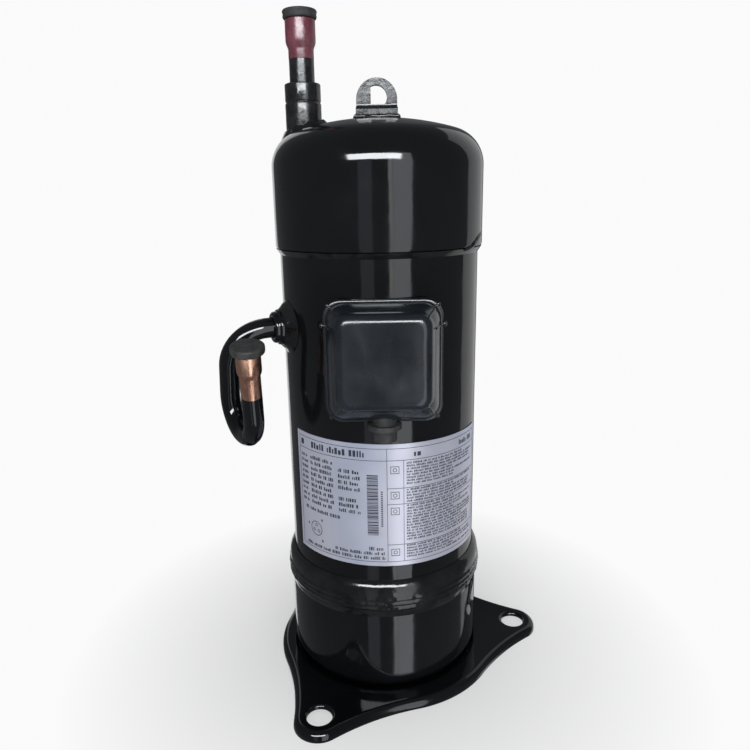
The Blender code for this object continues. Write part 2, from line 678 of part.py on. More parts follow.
def make_label(material):
    side = 360.0 / SHELL_SIDES
    start, end = (azimuth - 90 for azimuth in LABEL_AZIMUTHS)
    angles = [start]
    while math.floor(angles[-1] / side + 1 + 1e-6) * side < end:
        angles.append(math.floor(angles[-1] / side + 1 + 1e-6) * side)
    angles.append(end)
    outline = []
    back = BARREL_RADIUS + GAP
    for radius, order in ((back, 1), (back + LABEL_THICKNESS, -1)):
        for angle in angles[::order]:
            reach = chord_radius(angle, radius)
            turn = math.radians(angle)
            outline.append((reach * math.cos(turn), reach * math.sin(turn)))
    label = slab("name_label", outline, LABEL_LOW, LABEL_LOW + LABEL_HEIGHT, material)
    for vert in label.data.vertices:
        vert.co.z += LABEL_SLOPE * math.atan2(vert.co.x, -vert.co.y)
    return label


# ---------------------------------------------------------------- suction port


def make_suction_socket(material):
    """The stepped socket on the top cap and the weld round its foot."""
    at = (SUCTION_X, 0.0, 0.0)
    bore = SUCTION_TUBE_RADIUS + GAP
    low = TOP_CAP_APEX - SUCTION_SOCKET_DEPTH
    step = SUCTION_SOCKET_TOP - SUCTION_SOCKET_STEP
    outer = SUCTION_SOCKET_RADIUS
    upper = outer - 0.0004
    profile = [(bore, low), (outer, low), (outer, step), (upper, step + 0.001)]
    profile += [(upper, SUCTION_SOCKET_TOP - 0.0012), (upper - 0.0012, SUCTION_SOCKET_TOP)]
    turned("suction_socket", profile + [(bore, SUCTION_SOCKET_TOP)], material, at)

    around = outer + GAP
    foot = TOP_CAP_APEX - KNUCKLE_RADIUS
    edge = TOP_CAP_APEX - 0.006
    profile = [(around, foot), (SUCTION_WELD_RADIUS, foot), (SUCTION_WELD_RADIUS, edge)]
    profile += [(around + 0.0034, TOP_CAP_APEX), (around, TOP_CAP_APEX + 0.003)]
    weld = turned("suction_weld", profile, material, at)
    return cut(weld, bpy.data.objects["dome_clearance"])


def make_suction_pipe(finishes):
    """The pipe from the fixed scroll to its bell, the plug in the bell and the seal at its foot."""
    at = (SUCTION_X, 0.0, 0.0)
    outer = SUCTION_TUBE_RADIUS
    inner = outer - SUCTION_WALL
    bell_in = SUCTION_BELL_RADIUS - SUCTION_WALL
    bell = SUCTION_BELL_LOW + SUCTION_FLARE_LENGTH
    seat = FIXED_PLATE_HIGH - SEAL_DEPTH
    bottom = seat - 0.003
    profile = [(inner, bottom), (outer, bottom), (outer, SUCTION_BELL_LOW)]
    profile += [(SUCTION_BELL_RADIUS, bell), (SUCTION_BELL_RADIUS, SUCTION_END)]
    profile += [(bell_in, SUCTION_END), (bell_in, bell), (inner, SUCTION_BELL_LOW)]
    turned("suction_pipe", profile, finishes["maroon"], at)

    spigot = bell_in - GAP
    end = SUCTION_END + GAP
    top = end + SUCTION_PLUG_HEIGHT
    rim = SUCTION_PLUG_RADIUS
    profile = [(0.0, end - PLUG_DEPTH), (spigot - 0.001, end - PLUG_DEPTH)]
    profile += [(spigot, end - PLUG_DEPTH + 0.002), (spigot, end), (rim, end)]
    profile += [(rim, top - 0.001), (rim - 0.001, top), (0.0, top)]
    turned("suction_plug", profile, finishes["rubber"], at)

    low = seat + GAP
    high = low + SEAL_HEIGHT
    seal = tube("suction_seal", outer + GAP, SEAL_RADIUS - GAP, low, high, finishes["rubber"])
    seal.location = at


# ---------------------------------------------------------------- discharge port


def discharge_base():
    """Where the pipe's axis meets the barrel's surface."""
    return azimuth_direction(DISCHARGE_AZIMUTH) * BARREL_RADIUS + Vector((0, 0, DISCHARGE_Z))


def rounded_route(corners, bends, steps=6):
    """A route through corners, with an arc of the given radius at each inner one."""
    points = [corners[0]]
    for before, corner, after, bend in zip(corners, corners[1:], corners[2:], bends):
        back = (before - corner).normalized()
        on = (after - corner).normalized()
        half = back.angle(on) / 2
        centre = corner + (back + on).normalized() * bend / math.sin(half)
        first = corner + back * bend / math.tan(half) - centre
        last = corner + on * bend / math.tan(half) - centre
        sweep = first.angle(last)
        for step in range(steps + 1):
            share = step / steps
            turned_by = first * math.sin((1 - share) * sweep) + last * math.sin(share * sweep)
            points.append(centre + turned_by / math.sin(sweep))
    return points + [corners[-1]]


def swept_loops(shape, route, radii, sides):
    """Rings square to a route, turned from one to the next without twist."""
    loops = []
    across = None
    for index, (point, radius) in enumerate(zip(route, radii)):
        ahead = route[min(index + 1, len(route) - 1)] - point
        behind = point - route[max(index - 1, 0)]
        along = ahead.normalized() + behind.normalized()
        along.normalize()
        if across is None:
            across = along.orthogonal().normalized()
        across = (across - along * across.dot(along)).normalized()
        other = along.cross(across)
        corners = []
        for x, y in circle(radius, sides):
            corners.append(shape.verts.new(point + across * x + other * y))
        loops.append(corners)
    return loops


def discharge_route():
    """The pipe's route, ending in the straight stretch that widens into the bell."""
    base = discharge_base()
    start = base - azimuth_direction(DISCHARGE_AZIMUTH) * DISCHARGE_DEPTH
    near = base + DISCHARGE_NEAR_FOOT
    end = base + DISCHARGE_TIP
    corners = [start, base + DISCHARGE_ELBOW, base + DISCHARGE_FAR_FOOT, near, end]
    route = rounded_route(corners, DISCHARGE_BENDS)
    along = (end - near).normalized()
    bell = end - along * DISCHARGE_BELL_LENGTH
    route[-1:] = [bell - along * DISCHARGE_FLARE_LENGTH, bell, end]
    return route, along


def make_discharge_socket(material):
    """The boss in the barrel's side and the weld round it."""
    out = azimuth_direction(DISCHARGE_AZIMUTH)
    level = (0, 0, DISCHARGE_Z)
    bore = DISCHARGE_TUBE_RADIUS + GAP
    outer = DISCHARGE_BOSS_RADIUS
    ring = outer - 0.0015
    inside = BARREL_BORE + 2 * GAP
    end = BARREL_RADIUS + DISCHARGE_BOSS_REACH
    profile = [(bore, inside), (outer, inside), (outer, end - 0.004), (ring, end - 0.003)]
    profile += [(ring, end - 0.001), (ring - 0.0015, end), (bore, end)]
    turned("discharge_socket", profile, material, level, out)

    around = outer + GAP
    foot = BARREL_RADIUS - 0.004
    face = BARREL_RADIUS + DISCHARGE_WELD_REACH
    edge = DISCHARGE_WELD_RADIUS
    profile = [(around, foot), (edge, foot), (edge - 0.002, face - 0.003)]
    profile += [(around + 0.002, face), (around, face)]
    weld = turned("discharge_weld", profile, material, level, out)
    return cut(weld, barrel_cutter("weld_clearance", BARREL_RADIUS + GAP, DISCHARGE_Z, edge))


def make_discharge_pipe(finishes):
    route, along = discharge_route()
    shape = bmesh.new()
    plain = len(route) - 2
    outer_radii = [DISCHARGE_TUBE_RADIUS] * plain + [DISCHARGE_BELL_RADIUS] * 2
    inner_radii = [radius - DISCHARGE_WALL for radius in outer_radii]
    sides = 10
    outside = swept_loops(shape, route, outer_radii, sides)
    within = swept_loops(shape, route, inner_radii, sides)
    skin(shape, outside + within[::-1])
    place("discharge_pipe", shape, finishes["copper"])

    spigot = DISCHARGE_BELL_RADIUS - DISCHARGE_WALL - 2 * GAP
    rim = DISCHARGE_PLUG_RADIUS
    top = DISCHARGE_PLUG_HEIGHT
    profile = [(0.0, -DISCHARGE_PLUG_DEPTH), (spigot, -DISCHARGE_PLUG_DEPTH), (spigot, GAP)]
    profile += [(rim, GAP), (rim, top - 0.001), (rim - 0.001, top), (0.0, top)]
    turned("discharge_plug", profile, finishes["rubber"], route[-1], along)


# ---------------------------------------------------------------- terminals


def pin_places():
    return arc((0.0, TERMINAL_Z), PIN_CIRCLE_RADIUS, 90, 330, 2)


def make_terminals(finishes):
    """The glass-sealed header in the barrel, its three pins, the guard round them and the block."""
    level = (0, 0, TERMINAL_Z)
    front = (0, -1, 0)
    back = BARREL_RADIUS - HEADER_DEPTH
    flange = BARREL_RADIUS + 2 * GAP
    face = BARREL_RADIUS + HEADER_REACH
    profile = [(0.0, back), (HEADER_RADIUS, back), (HEADER_RADIUS, flange)]
    profile += [(HEADER_FLANGE_RADIUS, flange), (HEADER_FLANGE_RADIUS, face), (0.0, face)]
    header = turned("terminal_header", profile, finishes["steel"], level, front, sides=20)
    holes = []
    for number, (x, z) in enumerate(pin_places(), start=1):
        at = (x, 0.0, z)
        bead = PIN_BEAD_RADIUS
        hole = rod(f"bead_hole_{number}", bead + GAP, back - THROUGH, face + THROUGH, at, front, 8)
        cut(header, hole)
        start = BARREL_RADIUS - PIN_DEPTH
        end = BARREL_RADIUS + PIN_REACH
        bead_end = face + 0.0005
        bead_start = bead_end - PIN_BEAD_LENGTH
        profile = [(0.0, start), (PIN_RADIUS, start), (PIN_RADIUS, bead_start), (bead, bead_start)]
        profile += [(bead, bead_end), (PIN_RADIUS, bead_end), (PIN_RADIUS, end), (0.0, end)]
        turned(f"terminal_pin_{number}", profile, finishes["brass"], at, front, sides=8)
        holes.append(circle(PIN_RADIUS + GAP, 8, (x, z - TERMINAL_Z)))

    inner = GUARD_RADIUS - GUARD_WALL
    start = BARREL_RADIUS - THROUGH
    end = BARREL_RADIUS + GUARD_REACH
    profile = [(inner, start), (GUARD_RADIUS, start), (GUARD_RADIUS, end), (inner, end)]
    guard = turned("terminal_guard", profile, finishes["steel"], level, front, 24)
    cut(guard, barrel_cutter("guard_clearance", BARREL_RADIUS + GAP, TERMINAL_Z, GUARD_RADIUS))

    low = face + BLOCK_STANDOFF
    high = low + BLOCK_THICKNESS
    outline = circle(BLOCK_RADIUS, 24)
    block = slab("terminal_block", outline, low, high, finishes["phenolic"], holes)
    block.location = level
    block.rotation_euler = (math.pi / 2, 0, 0)


def cover_loop(shape, section, inset, shift):
    reach, narrower, lower, radius, raised = section
    width = COVER_WIDTH - narrower - 2 * inset
    height = COVER_HEIGHT - lower - 2 * inset
    y = -BARREL_RADIUS - reach + shift
    corner = max(radius - inset, 0.002)
    points = rounded_rectangle(width, height, corner)
    return [shape.verts.new((COVER_X + x, y, TERMINAL_Z + raised + z)) for x, z in points]


def make_cover(material):
    """The moulded cover, hollow behind, its rim cut to the barrel over a gasket."""
    shape = bmesh.new()
    wall = COVER_WALL
    outer = [cover_loop(shape, section, 0.0, 0.0) for section in COVER_SECTIONS]
    inner = [cover_loop(shape, COVER_SECTIONS[0], wall, 0.0)]
    inner += [cover_loop(shape, section, wall, wall / 2) for section in COVER_SECTIONS[1:-1]]
    inner += [cover_loop(shape, COVER_SECTIONS[-1], wall, wall)]
    skin(shape, outer[::-1] + inner, closed=False)
    shape.faces.new(outer[-1])
    shape.faces.new(inner[-1])
    cover = place("terminal_cover", shape, material)
    seat = BARREL_RADIUS + GASKET_THICKNESS + 2 * GAP
    cut(cover, barrel_cutter("cover_clearance", seat, TERMINAL_Z, COVER_HEIGHT / 2))
    notch = grommet_outline(GROMMET_FLANGE_WIDTH - GAP)
    return cut(cover, grommet_space("grommet_notch", notch))


def make_gasket(material):
    """The sheet between the cover's rim and the barrel, bent to the barrel."""
    radius = COVER_SECTIONS[0][3]
    border = 2 * GASKET_WIDTH
    outline = rounded_rectangle(COVER_WIDTH - 0.001, COVER_HEIGHT - 0.001, radius)
    hole = rounded_rectangle(COVER_WIDTH - border, COVER_HEIGHT - border, radius - 0.004)
    low = BARREL_RADIUS - 0.030
    high = BARREL_RADIUS + THROUGH
    gasket = slab("cover_gasket", outline, low, high, material, [hole])
    gasket.location = (COVER_X, 0, TERMINAL_Z)
    gasket.rotation_euler = (math.pi / 2, 0, 0)
    half = COVER_HEIGHT / 2
    back = BARREL_RADIUS + GAP
    cut(gasket, barrel_cutter("gasket_inside", back, TERMINAL_Z, half))
    outside = barrel_cutter("gasket_outside", back + GASKET_THICKNESS, TERMINAL_Z, half)
    combine(gasket, outside, "INTERSECT")
    return cut(gasket, grommet_space("gasket_notch", grommet_outline(-GAP)))


def grommet_outline(inset):
    """A D against the barrel, seen from above: round to the front, flat behind."""
    half = GROMMET_WIDTH / 2 - inset
    depth = GROMMET_DEPTH - inset
    back = -BARREL_RADIUS - GROMMET_STANDOFF
    points = []
    for x, y in arc((0, 0), 1.0, 180, 360, 10):
        points.append((COVER_X + half * x, back + depth * y))
    return points


def grommet_space(name, outline):
    return slab(name, outline, GROMMET_BOTTOM - THROUGH, GROMMET_TOP + THROUGH, None)


def make_grommet(material):
    """The rubber cable bush: a neck through the cover's wall, a flange below it and a nozzle."""
    outline = grommet_outline(GROMMET_FLANGE_WIDTH)
    neck = slab("cable_grommet", outline, GROMMET_BOTTOM, GROMMET_TOP, material)
    outline = grommet_outline(0.0)
    flange = slab("grommet_flange", outline, GROMMET_FLANGE_LOW, GROMMET_FLANGE_TOP, None)
    combine(neck, flange, "UNION")
    middle = (COVER_X, -BARREL_RADIUS - CABLE_HOLE_REACH, 0)
    low = GROMMET_BOTTOM - THROUGH
    high = GROMMET_TOP + THROUGH
    return cut(neck, rod("cable_hole", CABLE_HOLE_RADIUS, low, high, middle, sides=12))


# ---------------------------------------------------------------- crankshaft and bearings


def make_crankshaft(material):
    upper = STACK_HIGH + CAGE_RING_HEIGHT + WEIGHT_HEIGHT + 2 * GAP
    relief = HOUSING_HUB_LOW - JOURNAL_RELIEF
    low = SHAFT_BOTTOM
    oil = OIL_BORE_RADIUS
    bore_end = SHAFT_TOP - 0.006
    profile = [(oil, low), (JOURNAL_LOW_RADIUS, low), (JOURNAL_LOW_RADIUS, SHOULDER_Z)]
    profile += [(SHAFT_RADIUS, SHOULDER_Z), (SHAFT_RADIUS, upper), (SHAFT_UPPER_RADIUS, upper + 0.002)]
    profile += [(SHAFT_UPPER_RADIUS, relief), (JOURNAL_MAIN_RADIUS, relief)]
    profile += [(JOURNAL_MAIN_RADIUS, SHAFT_TOP), (0.0, SHAFT_TOP), (0.0, bore_end), (oil, bore_end)]
    shaft = turned("crankshaft", profile, material, sides=20)
    at = (ORBIT, 0, 0)
    pin = rod("crank_pin", CRANK_PIN_RADIUS, SHAFT_TOP - 0.003, CRANK_PIN_TOP, at, sides=20)
    return combine(shaft, pin, "UNION")


def make_bush(name, journal, low, high, material):
    inner = journal + GAP
    return tube(name, inner, inner + BUSH_WALL, low, high, material, 20)


def make_bearings(finishes):
    bronze = finishes["bronze"]
    make_bush("lower_bearing", JOURNAL_LOW_RADIUS, LOWER_HUB_LOW, LOWER_HUB_HIGH, bronze)
    make_bush("main_bearing", JOURNAL_MAIN_RADIUS, HOUSING_HUB_LOW, SHAFT_TOP, bronze)
    eccentric = make_bush(
        "eccentric_bush", CRANK_PIN_RADIUS, ECCENTRIC_LOW, CRANK_PIN_TOP, bronze
    )
    eccentric.location = (ORBIT, 0, 0)
    inner = JOURNAL_LOW_RADIUS + GAP
    low = LOWER_HUB_HIGH + GAP
    high = low + WASHER_THICKNESS
    tube("thrust_washer", inner, inner + WASHER_WIDTH, low, high, finishes["steel"], 20)


def make_lower_bearing_housing(material):
    """A hub on a plate with four windows, which lets the oil and gas past."""
    bore = JOURNAL_LOW_RADIUS + BUSH_FIT
    hub = LOWER_HUB_RADIUS
    profile = [(bore, LOWER_HUB_LOW), (hub, LOWER_HUB_LOW), (hub, LOWER_PLATE_LOW)]
    profile += [(INSERT_RADIUS, LOWER_PLATE_LOW), (INSERT_RADIUS, LOWER_PLATE_HIGH)]
    profile += [(hub, LOWER_PLATE_HIGH), (hub, LOWER_HUB_HIGH), (bore, LOWER_HUB_HIGH)]
    housing = turned("lower_bearing_housing", profile, material, sides=SHELL_SIDES)
    low = LOWER_PLATE_LOW - THROUGH
    high = LOWER_PLATE_HIGH + THROUGH
    for quarter in range(4):
        start = quarter * 90 + 14
        window = arc((0, 0), INSERT_RADIUS - WINDOW_RIM, start, start + 62, 5)
        window += arc((0, 0), hub + WINDOW_HUB, start + 54, start + 8, 3)
        cut(housing, slab(f"oil_window_{quarter}", window, low, high, None))
    return housing


def make_oil_pickup(material):
    top = SHAFT_BOTTOM - GAP
    tip = PICKUP_TIP_RADIUS
    inner = PICKUP_RADIUS - PICKUP_WALL
    taper = PICKUP_BOTTOM + PICKUP_TAPER
    profile = [(tip - PICKUP_WALL, PICKUP_BOTTOM), (tip, PICKUP_BOTTOM), (PICKUP_RADIUS, taper)]
    profile += [(PICKUP_RADIUS, top), (inner, top), (inner, taper)]
    return turned("oil_pickup", profile, material)


# ---------------------------------------------------------------- motor


def slot_centre(number):
    return number * 360.0 / SLOTS


def make_stator_core(material):
    """A ring of laminations with slots that open to the bore."""
    bore = []
    inner, outer = SLOT_RADII
    for number in range(SLOTS):
        centre = slot_centre(number)
        neck = SLOT_NECK_HALF_ANGLE
        body = SLOT_HALF_ANGLE
        bore += arc((0, 0), STATOR_BORE, centre - neck, centre - neck, 1)[:1]
        bore += arc((0, 0), inner, centre - body, centre - body, 1)[:1]
        bore += arc((0, 0), outer, centre - body, centre + body, 2)
        bore += arc((0, 0), inner, centre + body, centre + body, 1)[:1]
        bore += arc((0, 0), STATOR_BORE, centre + neck, centre + 360.0 / SLOTS - neck, 2)[:-1]
    return slab("stator_core", circle(INSERT_RADIUS, SHELL_SIDES), STACK_LOW, STACK_HIGH, material, [bore])


def cage_shape(half_angle, bar_radii, ring_radii, lows, highs):
    """Two rings joined by bars, one bar in each slot. lows and highs: each ring's far and near face."""
    shape = bmesh.new()
    angles = []
    for number in range(SLOTS):
        centre = slot_centre(number)
        angles += [centre - half_angle, centre + half_angle]

    def loop(radius, height):
        corners = []
        for angle in angles:
            turn = math.radians(angle)
            corners.append(shape.verts.new((radius * math.cos(turn), radius * math.sin(turn), height)))
        return corners

    near_loops = []
    for far, near in (lows, highs):
        corners = (ring_radii[0], bar_radii[0], bar_radii[1], ring_radii[1])
        loops = [loop(radius, near) for radius in corners]
        loops += [loop(ring_radii[1], far), loop(ring_radii[0], far)]
        near_loops.append(loops[1:3])
        pairs = list(zip(loops, loops[1:] + loops[:1]))
        for position, (first, second) in enumerate(pairs):
            for index in range(len(angles)):
                if position == 1 and index % 2 == 0:
                    continue
                after = (index + 1) % len(angles)
                shape.faces.new((first[index], first[after], second[after], second[index]))
    (low_in, low_out), (high_in, high_out) = near_loops
    for index in range(0, len(angles), 2):
        bar = (low_in[index], low_in[index + 1], low_out[index + 1], low_out[index])
        end = (high_in[index], high_in[index + 1], high_out[index + 1], high_out[index])
        skin(shape, [bar, end], closed=False)
    return shape


def make_stator_winding(material):
    clear = COIL_CLEARANCE
    half = SLOT_HALF_ANGLE - math.degrees(clear / SLOT_RADII[0])
    bars = (SLOT_RADII[0] + 2 * clear, SLOT_RADII[1] - 2 * clear)
    lows = (COIL_LOW, STACK_LOW - clear)
    highs = (COIL_HIGH, STACK_HIGH + clear)
    return place("stator_winding", cage_shape(half, bars, COIL_RADII, lows, highs), material)


def make_rotor(finishes):
    clear = COIL_CLEARANCE
    windows = []
    inner, outer = ROTOR_BAR_RADII
    half = ROTOR_BAR_HALF_ANGLE
    for number in range(SLOTS):
        centre = slot_centre(number)
        window = arc((0, 0), inner, centre - half, centre + half, 1)
        windows.append(window + arc((0, 0), outer, centre + half, centre - half, 1))
    windows.append(circle(SHAFT_RADIUS + GAP, 20))
    outline = circle(ROTOR_RADIUS, SHELL_SIDES)
    slab("rotor_core", outline, STACK_LOW, STACK_HIGH, finishes["lamination"], windows)
    bars = (inner + 2 * clear, outer - 2 * clear)
    half -= math.degrees(clear / inner)
    lows = (STACK_LOW - CAGE_RING_HEIGHT, STACK_LOW - clear)
    highs = (STACK_HIGH + CAGE_RING_HEIGHT, STACK_HIGH + clear)
    place("rotor_cage", cage_shape(half, bars, CAGE_RADII, lows, highs), finishes["aluminium"])


def make_balance_weights(material):
    """Half rings on the rotor's two ends, on opposite sides of the shaft."""
    upper = STACK_HIGH + CAGE_RING_HEIGHT + GAP
    lower = STACK_LOW - CAGE_RING_HEIGHT - GAP - WEIGHT_HEIGHT
    inner = SHAFT_RADIUS + 2 * GAP
    for name, start, low in (
        ("upper_balance_weight", 95, upper),
        ("lower_balance_weight", -85, lower),
    ):
        outline = arc((0, 0), WEIGHT_RADIUS, start, start + 170, 10)
        outline += arc((0, 0), inner, start + 170, start, 6)
        slab(name, outline, low, low + WEIGHT_HEIGHT, material)


def make_motor_leads(material):
    """Three insulated wires from the winding's top to the inner ends of the terminal pins."""
    coil_top = COIL_HIGH + GAP + 0.0002
    pin_end = -(BARREL_RADIUS - PIN_DEPTH) + GAP
    foot = -(COIL_RADII[1] - 0.0125)
    for number, (x, z) in enumerate(pin_places(), start=1):
        spread = x * LEAD_SPREAD
        route = [
            Vector((x, pin_end, z)),
            Vector((x, pin_end + 0.0057, z)),
            Vector(((x + spread) / 2, foot + 0.0035, (z + coil_top) / 2)),
            Vector((spread, foot, coil_top + LEAD_RISE)),
            Vector((spread, foot, coil_top)),
        ]
        shape = bmesh.new()
        loops = swept_loops(shape, route, [LEAD_RADIUS] * len(route), 6)
        skin(shape, loops, closed=False)
        shape.faces.new(loops[0])
        shape.faces.new(loops[-1])
        place(f"motor_lead_{number}", shape, material)


# ---------------------------------------------------------------- housing and scrolls


def key_slot(name, along_x, centre, low, high, slack_along, slack_across):
    """A cutter round one key, with room to slide and the key's clearance."""
    half = KEY_SIZE / 2 + KEY_CLEARANCE
    x, y = (slack_along, slack_across) if along_x else (slack_across, slack_along)
    corner = Vector((half + x, half + y, 0))
    low_corner = (-corner.x, -corner.y, low)
    return box(name, low_corner, (corner.x, corner.y, high), (*centre, 0))


def bolt_places():
    return arc((0, 0), BOLT_CIRCLE_RADIUS, 30, 390, BOLT_COUNT)[:-1]


def cut_bolt_holes(body, low, high):
    for number, (x, y) in enumerate(bolt_places(), start=1):
        name = f"{body.name}_bolt_hole_{number}"
        cut(body, rod(name, BOLT_RADIUS + GAP, low, high, (x, y, 0), sides=8))


def cut_gas_passage(body, low, high):
    half = GAS_PASSAGE_WIDTH / 2
    start = INSERT_RADIUS - GAS_PASSAGE_DEPTH
    end = INSERT_RADIUS + THROUGH
    return cut(body, box(f"{body.name}_gas_passage", (start, -half, low), (end, half, high)))


def make_main_housing(material):
    bore = JOURNAL_MAIN_RADIUS + BUSH_FIT
    hub = HOUSING_HUB_RADIUS
    cone = HOUSING_LOW - HOUSING_CONE_HEIGHT
    profile = [(bore, HOUSING_HUB_LOW), (hub, HOUSING_HUB_LOW), (hub + 0.002, cone)]
    profile += [(INSERT_RADIUS - HOUSING_SHOULDER, HOUSING_LOW), (INSERT_RADIUS, HOUSING_LOW)]
    profile += [(INSERT_RADIUS, HOUSING_TOP), (RECESS_RADIUS, HOUSING_TOP)]
    profile += [(RECESS_RADIUS, RECESS_FLOOR), (THRUST_RADIUS, RECESS_FLOOR)]
    profile += [(THRUST_RADIUS, THRUST_FACE), (CHAMBER_RADIUS, THRUST_FACE)]
    profile += [(CHAMBER_RADIUS, CHAMBER_FLOOR), (bore, CHAMBER_FLOOR)]
    housing = turned("main_housing", profile, material, sides=SHELL_SIDES)
    middle = sum(OLDHAM_RADII) / 2
    low = RECESS_FLOOR - KEY_HEIGHT - KEY_CLEARANCE
    high = RECESS_FLOOR + 0.002
    for number, side in enumerate((-1, 1), start=1):
        centre = (0, side * middle)
        cut(housing, key_slot(f"housing_slot_{number}", False, centre, low, high, ORBIT, 0))
    cut_gas_passage(housing, HOUSING_LOW - THROUGH, HOUSING_TOP + THROUGH)
    cut_bolt_holes(housing, BOLT_BOTTOM - BOLT_HOLE_DEPTH, HOUSING_TOP + THROUGH)
    return housing


def make_oldham_ring(material):
    """The ring that keeps the orbiting scroll from turning: keys below along Y, keys above along X."""
    low = RECESS_FLOOR + GAP
    high = low + OLDHAM_THICKNESS
    inner, outer = OLDHAM_RADII
    ring = tube("oldham_ring", inner, outer, low, high, material, 28)
    half = KEY_SIZE / 2
    middle = (inner + outer) / 2
    for number, side in enumerate((-1, 1), start=1):
        under = (low - KEY_HEIGHT, low + KEY_SINK)
        over = (high - KEY_SINK, high + KEY_HEIGHT)
        for level, centre, (start, end) in (
            ("under", (0, side * middle, 0), under),
            ("over", (side * middle, 0, 0), over),
        ):
            name = f"oldham_key_{level}_{number}"
            combine(ring, box(name, (-half, -half, start), (half, half, end), centre), "UNION")
    return ring


def wrap_thickness():
    return math.pi * INVOLUTE_BASE - ORBIT - WRAP_CLEARANCE


def wrap_outline():
    """An involute strip of even thickness, about the scroll's own centre."""
    half = wrap_thickness() / 2 / INVOLUTE_BASE
    steps = round((WRAP_END - WRAP_START) / WRAP_STEP)
    walls = []
    for side in (1, -1):
        wall = []
        for step in range(steps + 1):
            angle = math.radians(WRAP_START + step * WRAP_STEP)
            reach = angle + side * half
            x = math.cos(angle) + reach * math.sin(angle)
            y = math.sin(angle) - reach * math.cos(angle)
            wall.append((INVOLUTE_BASE * x, INVOLUTE_BASE * y))
        walls.append(wall)
    return walls[0] + walls[1][::-1]


def make_orbiting_scroll(material):
    """A plate with a wrap above and a hub below for the crank pin's bush."""
    low = ORBITING_PLATE_LOW
    high = ORBITING_PLATE_HIGH
    bore = ORBITING_HUB_BORE
    hub = ORBITING_HUB_RADIUS
    profile = [(0.0, low), (bore, low), (bore, ECCENTRIC_LOW), (hub, ECCENTRIC_LOW), (hub, low)]
    profile += [(ORBITING_PLATE_RADIUS, low), (ORBITING_PLATE_RADIUS, high), (0.0, high)]
    at = (ORBIT, 0, 0)
    scroll = turned("orbiting_scroll", profile, material, at, sides=28)
    tip = FIXED_PLATE_LOW - GAP
    wrap = slab("orbiting_wrap", wrap_outline(), high - 0.001, tip, None, location=at)
    combine(scroll, wrap, "UNION")
    middle = sum(OLDHAM_RADII) / 2
    depth = low + KEY_HEIGHT + KEY_CLEARANCE
    for number, side in enumerate((-1, 1), start=1):
        centre = (ORBIT + side * middle, 0)
        name = f"scroll_slot_{number}"
        cut(scroll, key_slot(name, True, centre, low - 0.002, depth, ORBIT, 2 * ORBIT))
    return scroll


def make_fixed_scroll(material):
    """A deep ring and plate with a wrap below, bored for the suction pipe and the discharge."""
    low = HOUSING_TOP + GAP
    ceiling = FIXED_PLATE_LOW
    high = FIXED_PLATE_HIGH
    hole = DISCHARGE_HOLE_RADIUS
    profile = [(hole, ceiling), (FIXED_WALL_RADIUS, ceiling), (FIXED_WALL_RADIUS, low)]
    profile += [(INSERT_RADIUS, low), (INSERT_RADIUS, high), (hole, high)]
    scroll = turned("fixed_scroll", profile, material, sides=SHELL_SIDES)
    tip = ORBITING_PLATE_HIGH + GAP
    wrap = slab("fixed_wrap", wrap_outline(), tip, ceiling + 0.001, None)
    wrap.rotation_euler = (0, 0, math.pi)
    combine(scroll, wrap, "UNION")
    bore = SUCTION_TUBE_RADIUS + GAP
    seat = high - SEAL_DEPTH
    start = ceiling - 0.005
    profile = [(0.0, start), (bore, start), (bore, seat), (SEAL_RADIUS, seat)]
    profile += [(SEAL_RADIUS, high + THROUGH), (0.0, high + THROUGH)]
    cut(scroll, turned("suction_bore", profile, None, (SUCTION_X, 0, 0)))
    cut_gas_passage(scroll, low - THROUGH, high + THROUGH)
    cut_bolt_holes(scroll, low - THROUGH, high + THROUGH)
    return scroll


def make_scroll_bolts(material):
    seat = FIXED_PLATE_HIGH + GAP
    top = seat + BOLT_HEAD_HEIGHT
    for number, (x, y) in enumerate(bolt_places(), start=1):
        profile = [(0.0, BOLT_BOTTOM), (BOLT_RADIUS, BOLT_BOTTOM), (BOLT_RADIUS, seat)]
        profile += [(BOLT_HEAD_RADIUS, seat), (BOLT_HEAD_RADIUS, top), (0.0, top)]
        turned(f"scroll_bolt_{number}", profile, material, (x, y, 0), sides=8)


def make_discharge_valve(material):
    """A free disc over the discharge hole, and the guide that stops its lift."""
    seat = FIXED_PLATE_HIGH + GAP
    face = seat + VALVE_THICKNESS
    profile = [(0.0, seat), (VALVE_RADIUS, seat), (VALVE_RADIUS, face), (0.0, face)]
    turned("discharge_valve", profile, material)
    inner = VALVE_RADIUS + 2 * GAP
    ceiling = face + VALVE_LIFT + GAP
    top = ceiling + GUIDE_CEILING
    vent = GUIDE_VENT_RADIUS
    profile = [(inner, seat), (GUIDE_RADIUS, seat), (GUIDE_RADIUS, top), (vent, top), (vent, ceiling)]
    turned("valve_guide", profile + [(inner, ceiling)], material)


def make_muffler(material):
    """The pressed bowl over the valve, vented at the top."""
    seat = FIXED_PLATE_HIGH + GAP
    wall = MUFFLER_WALL
    outer = MUFFLER_RADIUS
    foot = outer - MUFFLER_FLANGE
    shoulder = foot - 0.003
    crown = seat + MUFFLER_HEIGHT
    vent = MUFFLER_VENT_RADIUS
    profile = [(foot - 0.002, seat), (outer, seat), (outer, seat + wall), (foot, seat + wall)]
    profile += [(shoulder, crown - 0.006), (shoulder - 0.007, crown), (vent, crown)]
    profile += [(vent, crown - wall), (shoulder - 0.0077, crown - wall), (shoulder - wall, crown - 0.0068)]
    turned("muffler_cover", profile, material, sides=20)


# ---------------------------------------------------------------- assembly


def clear_scene():
    for item in list(bpy.data.objects):
        bpy.data.objects.remove(item, do_unlink=True)


